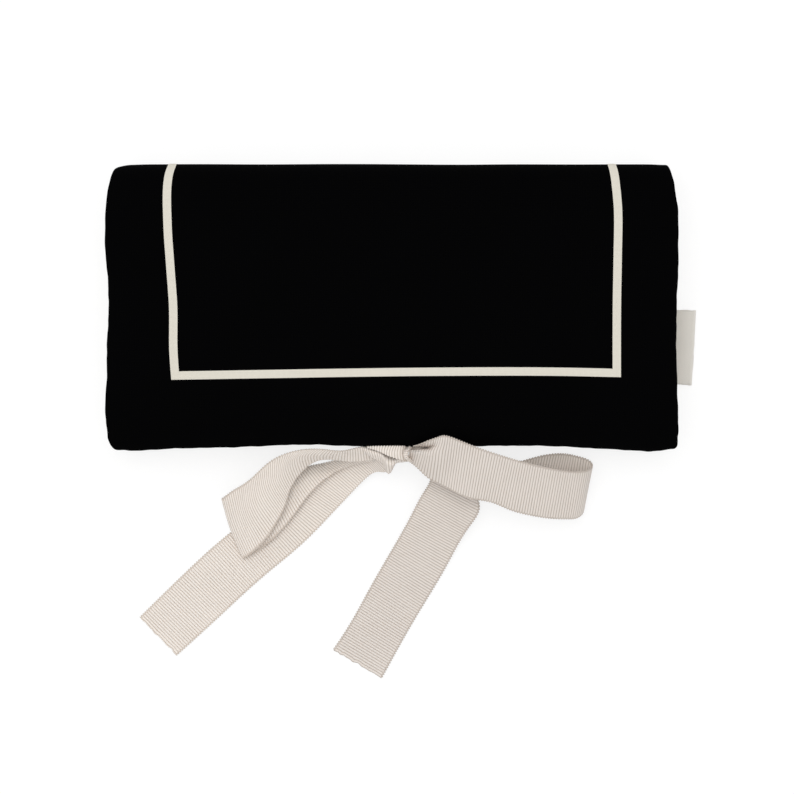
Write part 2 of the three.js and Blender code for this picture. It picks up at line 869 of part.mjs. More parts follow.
// Right loop: up over the flap's edge, flat on top, round at the right end and back underneath
const rightLoopPixels = [
  [[412, 449], [411, 460]],
  [[430, 444], [424, 474]],
  [[443, 436], [434, 482]],
  [[470, 445], [462, 496]],
  [[500, 455], [490, 502]],
  [[530, 463], [520, 512]],
  [[560, 470], [548, 518]],
  [[582, 471], [566, 519]],
  [[593, 467], [573, 517]],
  [[582, 458], [566, 510]],
  [[560, 454], [548, 503]],
  [[530, 455], [520, 500]],
  [[500, 453], [490, 494]],
  [[465, 451], [455, 486]],
  [[435, 451], [430, 474]],
  [[411, 452], [411, 462]],
];
const rightLoopHeightShares = [
  [0.78, 0.62],
  [0.98, 0.64],
  [1.1, 0.68],
  [1.06, 0.7],
  [1, 0.68],
  [0.94, 0.62],
  [0.84, 0.54],
  [0.68, 0.42],
  [0.46, 0.28],
  [0.28, 0.14],
  [0.22, 0.09],
  [0.2, 0.08],
  [0.2, 0.1],
  [0.24, 0.16],
  [0.36, 0.28],
  [0.54, 0.44],
];

// Right tail: out under the right loop and down onto the table
const rightTailPixels = [
  [[407, 456], [412, 462]],
  [[418, 466], [436, 474]],
  [[428, 482], [474, 494]],
  [[418, 504], [472, 524]],
  [[400, 536], [455, 549]],
  [[370, 588], [426, 600]],
  [[350, 624], [404, 640]],
  [[334, 648], [382, 677]],
];
const rightTailHeightShares = [
  [0.5, 0.52],
  [0.44, 0.47],
  [0.34, 0.38],
  [0.2, 0.24],
  [0.08, 0.08],
  [0.03, 0.03],
  [0.03, 0.03],
  [0.03, 0.03],
];

// The stretch of a ribbon between its seam in a panel's free edge and the knot
const leadEdgeShare = 0.76;
const backLeadEndPixels = [[378, 458], [391, 460]];
const backLeadEndShares = [0.36, 0.4];
const flapLeadEndPixels = [[400, 451], [411, 451]];
const flapLeadEndShares = [0.72, 0.72];

function leadStrip(middle, level, endPixels, endShares) {
  const left = middle - ribbonWidth / 2;
  const right = middle + ribbonWidth / 2;
  const start = frontEdge(middle) - seatGap - ribbonThickness;
  return strip(
    [new THREE.Vector3(left, start, level), bowPoint(endPixels[0], endShares[0])],
    [new THREE.Vector3(right, start, level), bowPoint(endPixels[1], endShares[1])],
    4,
  );
}

const backLead = leadStrip(
  knotX - ribbonWidth / 2,
  panelThickness * (1 - leadEdgeShare) + ribbonThickness,
  backLeadEndPixels,
  backLeadEndShares,
);
const flapLead = leadStrip(
  knotX + ribbonWidth / 4,
  closedHeight - panelThickness * leadEdgeShare,
  flapLeadEndPixels,
  flapLeadEndShares,
);
const knotSteps = 12;
const knot = new THREE.SphereGeometry(1, knotSteps, knotSteps / 2);
knot.scale(knotHalfWidth, knotHalfDepth, knotHalfHeight);
knot.translate(knotX, knotY, knotHeightShare * closedHeight);

piece('ribbon_back', join(
  bowStrip(leftLoopPixels, leftLoopHeightShares, 44),
  bowStrip(leftTailPixels, leftTailHeightShares, 18),
  backLead,
), creamRibbon);
piece('ribbon_flap', join(
  knot,
  bowStrip(rightLoopPixels, rightLoopHeightShares, 40),
  bowStrip(rightTailPixels, rightTailHeightShares, 16),
  flapLead,
), creamRibbon);

export default jewelryCase;
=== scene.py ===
# %% [markdown]
# # A fold-over jewelry case tied with a ribbon bow
# The real object is a flat travel case sewn from black cotton canvas over thin wadding. It folds once, and a
# grosgrain ribbon sewn into each free edge ties it shut. A cream line frames the outside, and a small folded
# label sticks out of the right edge. Inside are two zip pockets, three slip pockets and a ring bar.
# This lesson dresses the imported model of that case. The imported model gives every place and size, so it is
# loaded first and nothing of it is moved.

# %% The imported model
import math

import bmesh
import bpy
import numpy as np
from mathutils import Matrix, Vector, noise
from mathutils.bvhtree import BVHTree


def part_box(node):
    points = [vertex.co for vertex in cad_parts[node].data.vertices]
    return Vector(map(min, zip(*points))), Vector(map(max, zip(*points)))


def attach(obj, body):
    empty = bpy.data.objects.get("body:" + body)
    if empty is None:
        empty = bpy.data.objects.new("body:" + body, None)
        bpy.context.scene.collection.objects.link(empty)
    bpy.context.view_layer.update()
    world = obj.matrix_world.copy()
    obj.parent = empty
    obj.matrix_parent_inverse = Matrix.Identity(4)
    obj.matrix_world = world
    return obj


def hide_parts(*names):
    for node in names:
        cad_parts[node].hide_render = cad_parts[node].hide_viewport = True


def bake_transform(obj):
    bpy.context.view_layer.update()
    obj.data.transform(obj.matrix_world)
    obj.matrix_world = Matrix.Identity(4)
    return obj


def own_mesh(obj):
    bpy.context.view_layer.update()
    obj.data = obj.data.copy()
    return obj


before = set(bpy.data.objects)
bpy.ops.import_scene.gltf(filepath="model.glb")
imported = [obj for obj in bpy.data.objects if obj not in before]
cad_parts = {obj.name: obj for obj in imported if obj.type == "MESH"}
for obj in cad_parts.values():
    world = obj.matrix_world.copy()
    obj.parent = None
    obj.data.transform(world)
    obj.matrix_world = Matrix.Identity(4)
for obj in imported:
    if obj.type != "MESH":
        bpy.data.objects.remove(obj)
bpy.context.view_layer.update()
bpy.ops.object.select_all(action="DESELECT")
print("packed model:", len(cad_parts), "nodes")

# %% [markdown]
# Blender works in metres and the case is a few centimetres across, so one value stands for a millimetre.
# The main sizes could be typed in again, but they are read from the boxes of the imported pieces, so that the
# cloth always fits the solids.

# %% Main sizes
MM = 0.001
flap_low, flap_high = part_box("outer_canvas_flap")
closed_height = flap_high.z
half_width = flap_high.x
front_y = flap_low.y
fold_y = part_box("outer_canvas_spine")[1].y
panel_thickness = closed_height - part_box("lining_flap")[0].z
fold_radius = 8 * MM
spine_half = closed_height / 2 - fold_radius
arc_length = fold_radius * math.pi / 2
print("closed case:", round(half_width / MM * 2), "by", round((fold_y - front_y) / MM), "mm")

# %% [markdown]
# The camera comes first, because the bow is placed by what it sees. The photograph was taken from straight
# above. The 22 mm ribbon is 52.5 pixels wide in it, which gives the size of a pixel at the level of the
# flap, and the lens is long, so that lower places look only a little smaller.

# %% Camera
IMAGE_SIZE = 794
RIBBON_WIDTH = 22 * MM
RIBBON_PIXELS = 52.5
PIXEL = RIBBON_WIDTH / RIBBON_PIXELS
VIEW_CENTRE = Vector((1.88 * MM, -38.1 * MM, closed_height))
CAMERA_RISE = 880 * MM
SENSOR_WIDTH = 36

bpy.ops.object.camera_add(location=VIEW_CENTRE + Vector((0, 0, CAMERA_RISE)), rotation=(0, 0, 0))
camera = bpy.context.object
camera.name = "photo_camera"
camera.data.sensor_width = SENSOR_WIDTH
camera.data.lens = SENSOR_WIDTH * CAMERA_RISE / (IMAGE_SIZE * PIXEL)
bpy.context.scene.camera = camera
print("lens:", round(camera.data.lens, 1), "mm, pixel:", round(PIXEL / MM, 3), "mm")


def at_pixel(pixel, height):
    """The point at a height over the table that the camera sees at a pixel."""
    size = PIXEL * (1 + (closed_height - height) / CAMERA_RISE)
    middle = IMAGE_SIZE / 2
    return Vector((
        VIEW_CENTRE.x + (pixel[0] - middle) * size,
        VIEW_CENTRE.y + (middle - pixel[1]) * size,
        height,
    ))


# %% [markdown]
# Every finish is built from nodes, which keep their detail at any distance, where a picture would blur. One
# function turns a written colour into Blender's linear values. Another adds a node with its settings and its
# links, so that each material below reads as a list of what it is made of.

# %% Helpers for finishes
def linear(code):
    """Linear red, green, blue and alpha for an sRGB colour written as six hex digits."""
    shares = [int(code[i:i + 2], 16) / 255 for i in (0, 2, 4)]
    return [s / 12.92 if s <= 0.04045 else ((s + 0.055) / 1.055) ** 2.4 for s in shares] + [1]


def set_inputs(tree, node, inputs):
    """Gives each input its value or its link. A node stands for its own first output."""
    for key, value in inputs.items():
        if isinstance(value, bpy.types.Node):
            value = value.outputs[0]
        if isinstance(value, bpy.types.NodeSocket):
            tree.links.new(value, node.inputs[key])
        else:
            node.inputs[key].default_value = value


def add(tree, kind, inputs, stops=None, **settings):
    """Adds one node with its settings and its links. stops are the places and colours of a ramp."""
    made = tree.nodes.new("ShaderNode" + kind)
    for key, value in settings.items():
        setattr(made, key, value)
    set_inputs(tree, made, inputs)
    if stops:
        for element, (position, code) in zip(made.color_ramp.elements, stops.items()):
            element.position = position
            element.color = linear(code)
    return made


def new_material(name):
    """An empty material, with its tree and the principled shader to fill in."""
    material = bpy.data.materials.new(name)
    material.use_nodes = True
    tree = material.node_tree
    return material, tree, tree.nodes["Principled BSDF"]


print("middle grey 808080 is", round(linear("808080")[0], 3), "in linear light")

# %% [markdown]
# Plain-woven cotton is two sets of threads that pass over and under each other. Each thread is a half-round
# ridge, so its height is the size of a sine across it, and a checker says which set is on top. Modelling
# every thread would take millions of faces, so the weave is bump, and colour with painted shade where the
# threads are low, between them. The pattern reads the cloth's own map, in metres along the threads, so it
# turns round folds with the cloth. Canvas has about 20 threads to the centimetre. All weaves are drawn a
# little coarser than that here, so that they show.

# %% Woven cotton
THREAD_DRIFT_SIZE = 11.11 * MM
THREAD_DRIFT = 0.7
CLOTH_PATCH = 28.57 * MM


def woven(name, hollow_shade, crest, thread, depth, sheen=0.1, crest_at=0.55, gloss=0.2):
    """Plain-woven cloth. Its first colour is painted shade between the threads, its second the colour on the
    threads.
    """
    material, tree, shader = new_material(name)
    place = add(tree, "UVMap", {}, uv_map="cloth")
    loose = add(tree, "TexNoise", {"Vector": place, "Scale": 1 / THREAD_DRIFT_SIZE, "Detail": 2.0})
    drift = add(tree, "VectorMath", {0: loose.outputs["Color"], 1: (thread * THREAD_DRIFT,) * 3},
                operation="MULTIPLY")
    bent = add(tree, "VectorMath", {0: place, 1: drift}, operation="ADD")
    counts = add(tree, "VectorMath", {0: bent, "Scale": 1 / thread}, operation="SCALE")
    over = add(tree, "TexChecker", {"Vector": counts, "Scale": 1.0})
    parts = add(tree, "SeparateXYZ", {0: counts})
    ridges = []
    for axis in ("X", "Y"):
        turn = add(tree, "Math", {0: parts.outputs[axis], 1: math.pi}, operation="MULTIPLY")
        wave = add(tree, "Math", {0: turn}, operation="SINE")
        ridges.append(add(tree, "Math", {0: wave}, operation="ABSOLUTE"))
    height = add(tree, "Mix", {"Factor": over.outputs["Fac"], "A": ridges[0], "B": ridges[1]})
    bump = add(tree, "Bump", {"Height": height, "Distance": depth, "Strength": 0.8})
    cloud = add(tree, "TexNoise", {"Vector": place, "Scale": 1 / CLOTH_PATCH, "Detail": 4.0})
    patchy = add(tree, "MapRange", {"Value": cloud, "To Min": 0.45, "To Max": 0.65})
    shade = add(tree, "Math", {0: height, 1: patchy}, operation="MULTIPLY")
    # The ramp paints shade: darker where the weave is low, between the threads, and lighter on their tops.
    colour = add(tree, "ValToRGB", {"Fac": shade}, stops={0.0: hollow_shade, crest_at: crest})
    set_inputs(tree, shader, {
        "Base Color": colour,
        "Normal": bump,
        "Roughness": 0.95,
        "Specular IOR Level": gloss,
        "Sheen Weight": sheen,
        "Sheen Roughness": 0.5,
    })
    print(name, "threads:", round(10 * MM / thread, 1), "to the centimetre")
    return material


# %% Cotton cloths of the case
# Dyed canvas swallows nearly all light: a deep flat black, on which the threads are only a trace.
black_canvas = woven("black_cotton_canvas", "010101", "040405", 0.7 * MM, 0.12 * MM, sheen=0.0,
                     crest_at=0.6, gloss=0.02)
# Undyed cotton is a warm, uneven off-white with soft shadow between its threads.
cream_lining = woven("natural_cotton_lining", "c4bba8", "e4dccb", 0.55 * MM, 0.08 * MM)
# A label is woven tight from bleached yarn, so it is paler and smoother than the lining. Its colour is set a
# little paler still: painted light against the shadow that the case casts on it.
woven_label = woven("woven_cotton_label", "dedad2", "f0ece5", 0.45 * MM, 0.05 * MM)
# Narrow tape has fine threads, which keep the cream line from looking painted on.
cream_tape = woven("cream_cotton_tape", "ccc7bb", "e8e3d6", 0.5 * MM, 0.05 * MM, sheen=0.05, crest_at=0.5)
# Webbing for zips is dyed polyester: a soft charcoal that catches a little light on its threads.
zip_webbing = woven("black_zip_webbing", "0c0c0d", "1c1c1e", 0.5 * MM, 0.08 * MM, crest_at=0.6)

# %% [markdown]
# Grosgrain is woven with thick threads across the ribbon, which stand up as ribs. The ribs catch the light
# along the ribbon's bends and cut a fine saw into its outline, so they are modelled in the mesh, where bump
# would leave the outline smooth. The finish paints shade into the hollows between them, darker than the ribs,
# and adds the fine threads that bind them. The map runs along the ribbon in metres, so the painted shade of
# the hollows falls where the ribs end. Light also passes a little way into such thin cream yarn, which
# softens its shadows.

# %% Grosgrain
RIB_PITCH = 1.15 * MM
BINDING_PITCH = 0.35 * MM
SELVEDGE = 1.1 * MM
SELVEDGE_RIM = 0.5 * MM
SELVEDGE_SHADE = 0.14
RIBBON_PATCH = 16.67 * MM
YARN_DEPTH = 0.65 * MM


def grosgrain(name, hollow_shade, crest):
    """Ribbed ribbon. Its first colour is painted shade in the hollows between the ribs, its second the colour
    on the ribs.
    """
    material, tree, shader = new_material(name)
    place = add(tree, "UVMap", {}, uv_map="cloth")
    parts = add(tree, "SeparateXYZ", {0: place})
    turn = add(tree, "Math", {0: parts.outputs["Y"], 1: math.pi / RIB_PITCH}, operation="MULTIPLY")
    wave = add(tree, "Math", {0: turn}, operation="SINE")
    ridge = add(tree, "Math", {0: wave}, operation="ABSOLUTE")
    cloud = add(tree, "TexNoise", {"Vector": place, "Scale": 1 / RIBBON_PATCH, "Detail": 2.0})
    uneven = add(tree, "Math", {0: cloud, 1: 0.3}, operation="MULTIPLY")
    woven_share = add(tree, "Math", {0: ridge, 1: uneven}, operation="SUBTRACT")
    from_middle = add(tree, "Math", {0: parts.outputs["X"], 1: RIBBON_WIDTH / 2}, operation="SUBTRACT")
    out = add(tree, "Math", {0: from_middle}, operation="ABSOLUTE")
    selvedge = add(tree, "MapRange", {
        "Value": out,
        "From Min": RIBBON_WIDTH / 2 - SELVEDGE,
        "From Max": RIBBON_WIDTH / 2 - SELVEDGE_RIM,
    })
    shade = add(tree, "Mix", {"Factor": selvedge, "A": woven_share, "B": SELVEDGE_SHADE})
    # The ramp paints shade into the hollows between the ribs and puts the crest colour on them.
    colour = add(tree, "ValToRGB", {"Fac": shade}, stops={0.0: hollow_shade, 0.6: crest})
    binding = add(tree, "Math", {0: parts.outputs["X"], 1: 2 * math.pi / BINDING_PITCH},
                  operation="MULTIPLY")
    threads = add(tree, "Math", {0: binding}, operation="SINE")
    bump = add(tree, "Bump", {"Height": threads, "Distance": 0.006 * MM, "Strength": 0.4})
    set_inputs(tree, shader, {
        "Base Color": colour,
        "Normal": bump,
        "Roughness": 0.75,
        "Specular IOR Level": 0.25,
        "Sheen Weight": 0.1,
        "Sheen Roughness": 0.4,
        "Subsurface Weight": 0.5,
        "Subsurface Radius": (1.0, 1.0, 1.0),
        "Subsurface Scale": YARN_DEPTH,
    })
    print(name, "ribs:", round(10 * MM / RIB_PITCH, 1), "to the centimetre")
    return material


# Grosgrain is a clean cream. The right ribbon takes a darker, greyer copy of it, which is painted shade, as if
# more light fell on the bow from the left.
cream_grosgrain = grosgrain("cream_grosgrain", "c9bdb1", "f4ebe3")
shaded_grosgrain = grosgrain("shaded_cream_grosgrain", "bdb2a8", "e7dfd8")

# %% [markdown]
# Zips of this kind are nickel-plated brass, and the snap is plain brass that has lost its shine. A single
# grey would look like plastic. Both get patches of tarnish in the colour, and fine scratches from use in the
# roughness and the bump, which a stretched noise gives.

# %% Metals
TARNISH_PATCH = 4 * MM
SCRATCH_LENGTH = 1.111 * MM
SCRATCH_STRETCH = 12


def worn_metal(name, bright, dull, rough):
    """Metal with tarnished patches. bright and dull are its colours, rough its mean roughness."""
    material, tree, shader = new_material(name)
    place = add(tree, "TexCoord", {}).outputs["Object"]
    tarnish = add(tree, "TexNoise", {"Vector": place, "Scale": 1 / TARNISH_PATCH, "Detail": 6.0})
    colour = add(tree, "ValToRGB", {"Fac": tarnish}, stops={0.35: dull, 0.6: bright})
    stretched = add(tree, "Mapping", {"Vector": place, "Scale": (1, SCRATCH_STRETCH, SCRATCH_STRETCH)})
    scratch = add(tree, "TexNoise", {"Vector": stretched, "Scale": 1 / SCRATCH_LENGTH, "Detail": 3.0})
    gloss = add(tree, "MapRange", {"Value": scratch, "To Min": rough - 0.08, "To Max": rough + 0.12})
    bump = add(tree, "Bump", {"Height": scratch, "Distance": 0.02 * MM, "Strength": 0.4})
    set_inputs(tree, shader, {
        "Base Color": colour,
        "Metallic": 1.0,
        "Roughness": gloss,
        "Normal": bump,
    })
    print(name, "scratches:", round(SCRATCH_LENGTH / SCRATCH_STRETCH / MM, 2), "mm wide")
    return material


# Plating is pale and fairly bright, and brass is a duller, browner yellow where the air has reached it.
nickel = worn_metal("nickel_plated_brass", "cfccc4", "a8a59e", 0.28)
brass = worn_metal("worn_brass", "c2a25f", "8f7440", 0.34)

# %% [markdown]
# All the cloth is made the same way. A flat grid is added, and each of its points is sent to its place by a
# function of its shares across and along the cloth. The same function gives the point's place on the flat
# cloth in metres, which is what the weave reads. Pulling points by hand could give the same forms, but a
# function keeps them smooth and can be changed by one number.

# %% Cloth from a grid
def cloth_grid(name, across, along, place, material):
    """A grid whose points and flat cloth places come from place(u, v), for shares u and v from 0 to 1."""
    bpy.ops.mesh.primitive_grid_add(x_subdivisions=across, y_subdivisions=along, size=1)
    cloth = bpy.context.object
    cloth.name = name
    mesh = cloth.data
    mesh.name = name
    flat = np.zeros(len(mesh.vertices) * 3)
    mesh.vertices.foreach_get("co", flat)
    flat = flat.reshape(-1, 3)
    points, places = place(flat[:, 0] + 0.5, flat[:, 1] + 0.5)
    mesh.vertices.foreach_set("co", points.ravel())
    corners = np.zeros(len(mesh.loops), int)
    mesh.loops.foreach_get("vertex_index", corners)
    mesh.uv_layers[0].name = "cloth"
    mesh.uv_layers["cloth"].data.foreach_set("uv", places[corners].ravel())
    mesh.materials.append(material)
    mesh.update()
    bpy.ops.object.shade_smooth()
    print(name, "grid:", across, "by", along)
    return cloth


def stacked(*columns):
    """Columns of numbers side by side, one row for each point."""
    return np.stack(np.broadcast_arrays(*columns), axis=1)


def soft_step(value):
    """0 up to 0, 1 from 1 on, and a soft rise between."""
    share = np.clip(value, 0, 1)
    return share * share * (3 - 2 * share)


print("a soft step at 0.25 has risen to", round(float(soft_step(0.25)), 2))

# %% Finishing a cloth
RIM_ANGLE = math.radians(50)


def select_only(*pieces):
    """Deselects everything, then selects these pieces, with the first one active."""
    bpy.ops.object.select_all(action="DESELECT")
    for piece in pieces:
        piece.select_set(True)
    bpy.context.view_layer.objects.active = pieces[0]


def apply_modifier(piece, kind, **settings):
    """Adds one modifier to a piece and applies it."""
    select_only(piece)
    modifier = piece.modifiers.new(kind.lower(), kind)
    for key, value in settings.items():
        setattr(modifier, key, value)
    bpy.ops.object.modifier_apply(modifier=modifier.name)
    return piece


def crisp_rims(piece):
    """Shades a thick cloth smooth, but keeps the edge of its cut sharp."""
    select_only(piece)
    bpy.ops.object.shade_smooth_by_angle(angle=RIM_ANGLE)
    return piece


print("rims of more than", round(math.degrees(RIM_ANGLE)), "degrees stay crisp")

# %% [markdown]
# A sewn and turned edge is never straight. The photograph shows how far each edge of the flap lies inside
# the full rectangle, and a smooth curve through a few such places draws it. A straight edge with noise would
# look as soft, but its bumps would be in the wrong places.

# %% Edges of the closed case
def through(pairs):
    """A smooth function through pairs of place and value."""
    places, values = np.array(pairs, float).T
    slopes = np.gradient(values, places)

    def value(place):
        place = np.clip(place, places[0], places[-1])
        i = np.clip(np.searchsorted(places, place) - 1, 0, len(places) - 2)
        step = places[i + 1] - places[i]
        t = (place - places[i]) / step
        start = (1 + 2 * t) * (1 - t) ** 2 * values[i] + t * (1 - t) ** 2 * step * slopes[i]
        end = t * t * (3 - 2 * t) * values[i + 1] + t * t * (t - 1) * step * slopes[i + 1]
        return start + end

    return value


front_inset_mm = through([
    (-120, -0.2), (-111, -0.8), (-94, 0.0), (-68, 0.6), (-33, 1.7), (-15, 1.0), (30, 1.1), (70, 1.0),
    (86, 0.1), (98, -0.5), (108, -1.1), (115, -0.6), (120, 0.5),
])
left_inset_mm = through([
    (-60, 0.8), (-51, -0.4), (-44, -0.9), (-30, -0.3), (-17, -0.2), (0, 0.5), (10, 0.3), (21, -0.8),
    (41, -0.9), (60, -0.9),
])
right_inset_mm = through([
    (-60, -0.3), (-50, -0.3), (-44, -0.2), (-30, 0.3), (3, 0.3), (14, -0.2), (34, -0.3), (45, -0.1),
    (60, 0.1),
])
print("front edge lies", round(float(front_inset_mm(0)), 2), "mm inside the rectangle at its middle")

# %% [markdown]
# Where the padded cloth is bent round the fold, the tension draws its ends in, so the closed case narrows
# towards the fold with rounded shoulders. A power of the share of the way gives that outline.

# %% Ends of the fold
FOLD_DRAW_IN = 5.4 * MM
FOLD_DRAW_REACH = 30.5 * MM
FOLD_DRAW_START = 2 * MM
FOLD_DRAW_POWER = 1.22


def fold_draw_in(run):
    """How far the ends of the fold are drawn in, at a distance along the cloth from the spine's middle."""
    share = np.clip((FOLD_DRAW_REACH - run) / (FOLD_DRAW_REACH - FOLD_DRAW_START), 0, 1)
    return FOLD_DRAW_IN * share ** FOLD_DRAW_POWER


print("drawn in", round(float(fold_draw_in(spine_half + arc_length / 2)) / MM, 1), "mm half way round")

# %% [markdown]
# The cloth of a panel runs from the middle of the spine, round the fold, and along the panel to its free
# edge. A place on it is given by X, by the run along the cloth from the spine's middle, and by the depth
# under the outer face. Flat cloth could be bent by a modifier, but this way each place also knows how much
# cloth lies behind it. The back panel is the flap turned over, so one function serves both.

# %% A place on the folded cloth
flat_start = spine_half + arc_length
TIE_X = 5.6 * MM
DROOP_REACH = 13 * MM
DROOP = 3 * MM
TIE_DROOP = 2.5 * MM
TIE_SPREAD = 22 * MM
# Height in mm, turn in radians to the mm, and start of three waves, whose lengths don't divide each other.
EDGE_WAVES = ((0.13, 1.15, 0), (0.1, 0.61, 1.3), (0.08, 2.1, 0))


def edge_wobble(place_mm):
    """Small bumps of a sewn and turned edge, in millimetres."""
    return sum(height * np.sin(place_mm * rate + start) for height, rate, start in EDGE_WAVES)


def front_line(x):
    """Y of the free edge at X."""
    return front_y + (front_inset_mm(x / MM) + edge_wobble(x / MM)) * MM


def free_edge_run(x):
    """Run of the cloth at its free edge, at X."""
    return flat_start + (fold_y - fold_radius) - front_line(x)


def droop(x, from_front):
    """How far the flap's free edge hangs down, most where the bow pulls it."""
    share = np.clip(1 - from_front / DROOP_REACH, 0, 1) ** 2
    return share * (DROOP + TIE_DROOP * np.exp(-0.5 * ((x - TIE_X) / TIE_SPREAD) ** 2))


def on_panel(x, run, depth, panel):
    """Points at X, at a run from the spine's middle, and at a depth under the outer face."""
    turn = np.clip((run - spine_half) / fold_radius, 0, math.pi / 2)
    along = np.maximum(run - flat_start, 0)
    up = np.minimum(run, spine_half)
    y = fold_y - fold_radius + (fold_radius - depth) * np.cos(turn) - along
    z = closed_height / 2 + up + (fold_radius - depth) * np.sin(turn)
    if panel == "flap":
        z = z - droop(x, free_edge_run(x) - run)
    else:
        z = closed_height - z
    return stacked(x, y, z)


print("cloth from the spine's middle to the free edge:", round(float(free_edge_run(0)) / MM, 1), "mm")

# %% [markdown]
# The outer cover is one padded cloth. Its cross-section starts at the seam with the lining, turns round the
# soft edge and rises to the full thickness over 14 mm. A block with a bevel would have the same edge all
# round. Here rings of points follow the section on three sides, so the grid has its own rows for the edge,
# and plain rows between.

# %% Section of the soft edge
EDGE_REACH = 14 * MM
EDGE_DROP = 2.6 * MM
SEAM_INSET = 1.4 * MM
STEPS_UNDER = 6
STEPS_OVER = 12

under = np.radians(np.arange(STEPS_UNDER) * 90 / STEPS_UNDER)
over = np.radians(np.arange(STEPS_OVER + 1) * 90 / STEPS_OVER)
ring_inset = np.concatenate([SEAM_INSET * (1 - np.sin(under)), EDGE_REACH * (1 - np.cos(over))])
ring_depth = np.concatenate([
    panel_thickness - (panel_thickness - EDGE_DROP) * (1 - np.cos(under)),
    EDGE_DROP * (1 - np.sin(over)),
])
ring_run = np.concatenate([[0], np.cumsum(np.hypot(np.diff(ring_inset), np.diff(ring_depth)))])
last_ring = len(ring_inset) - 1
edge_ring = len(under)
print("edge rings:", last_ring + 1, "over", round(ring_run[-1] / MM, 1), "mm of cloth")

# %% Crown and corners
LEFT_CORNER_RADIUS = 3.5 * MM
RIGHT_CORNER_RADIUS = 1.6 * MM
CROWN_POWER = 4


def crown_depth(side, front):
    """Depth of the outer face by the insets from the side and front edges."""
    side_share = np.clip(1 - side / EDGE_REACH, 0, 1)
    front_share = np.clip(1 - front / EDGE_REACH, 0, 1)
    both = np.clip(1 - (1 - side_share ** CROWN_POWER) * (1 - front_share ** CROWN_POWER), 0, 1)
    share = both ** (1 / CROWN_POWER)
    return EDGE_DROP * (1 - np.sqrt(1 - share ** 2))


def rounded_corner(side, front, radius):
    """Insets near a corner, moved so that its outline is round."""
    a = np.clip(1 - side / radius, 0, 1)
    b = np.clip(1 - front / radius, 0, 1)
    new_a = a * np.sqrt(1 - b * b / 2)
    new_b = b * np.sqrt(1 - a * a / 2)
    inside = (a > 0) & (b > 0)
    return (
        np.where(inside, radius * (1 - new_a), side),
        np.where(inside, radius * (1 - new_b), front),
    )


def insets_on_rings(index, ring):
    """Inset from an edge of grid line number index, for points that lie on a given ring."""
    index = np.minimum(index, last_ring)
    return ring_inset[ring] + ring_run[index] - ring_run[ring]


print("crown 5 mm inside an edge:", round(float(crown_depth(5 * MM, EDGE_REACH)) / MM, 2), "mm down")

# %% [markdown]
# Where cloth is sewn and turned it puckers a little, and wadding is never quite even. Sculpting could give
# both, but not twice alike. Here they are small heights from a noise that repeats in each run: short puckers
# close to the seam, and long soft waves over the whole panel.

# %% Puckers and unevenness
PUCKER = 0.5 * MM
PUCKER_REACH = 7 * MM
PUCKERS_PER_METRE = 160
CREASES_PER_METRE = 330
UNEVEN = 0.35 * MM
WAVES_PER_METRE = 28


def noise_at(points, per_metre, seed):
    """Smooth noise from -1 to 1 at flat places, with so many bumps to the metre."""
    start = Vector((seed, seed, seed))
    return np.array([noise.noise(Vector((p[0], p[1], 0)) * per_metre + start) for p in points])


def cover_relief(x, run, from_edge, seed):
    """Height of the puckers and waves of a cover."""
    flat = np.stack([x, run], axis=1)
    short = noise_at(flat, PUCKERS_PER_METRE, seed) + 0.5 * noise_at(flat, CREASES_PER_METRE, seed + 7)
    long = noise_at(flat, WAVES_PER_METRE, seed + 3)
    near = np.exp(-np.clip(from_edge, 0, None) / PUCKER_REACH)
    return PUCKER * short * near + UNEVEN * long * (1 - near)


print("puckers:", PUCKER / MM, "mm high, one in", round(1000 / PUCKERS_PER_METRE, 1), "mm")

# %% [markdown]
# Now the covers themselves. Each reaches from the free edge of its panel, round its fold, to the middle of
# the spine, where the two meet. One sheet over both panels would be closer to the sewing, but a cloth can be
# blended between two bodies only, and the case opens about two hinges.

# %% Outline and fullness of a panel
SIDE_WAVE_SHIFT = 7
BACK_INSET = 0.5 * MM
BACK_INSET_REACH = 10 * MM
FULL_REACH = 15 * MM
LEFT_FULLNESS = 0.4
RIGHT_FULLNESS = 0.8


def half_width_at(run, x_sign, panel):
    """How far the panel reaches to the left (x_sign -1) or the right (1) at a run."""
    y = fold_y - fold_radius - (run - flat_start)
    y_mm = np.clip(y, front_y, fold_y) / MM
    inset = np.where(x_sign < 0, left_inset_mm(y_mm), right_inset_mm(y_mm))
    inset = (inset + edge_wobble(run / MM + x_sign * SIDE_WAVE_SHIFT)) * MM
    if panel == "back":
        inset = inset + BACK_INSET * np.clip((run - spine_half) / BACK_INSET_REACH, 0, 1)
    return half_width - inset - fold_draw_in(run)


def edge_drop(run, x_sign):
    """Drop of the face at its edge, which is less near the fold, where the wadding is pressed out."""
    near_fold = soft_step((flat_start + FULL_REACH - run) / FULL_REACH)
    return EDGE_DROP * (1 - np.where(x_sign < 0, LEFT_FULLNESS, RIGHT_FULLNESS) * near_fold)


print("half width at the fold:", round(float(half_width_at(spine_half, 1, "flap")) / MM, 1), "mm")

# %% Place of each point of a cover
SPAN_COLUMNS = 84
SPAN_ROWS = 44
BACK_SINK = 0.45 * MM
BACK_RELIEF = 0.5
FOLD_BULGE = 0.4 * MM
JOIN_REACH = 6 * MM


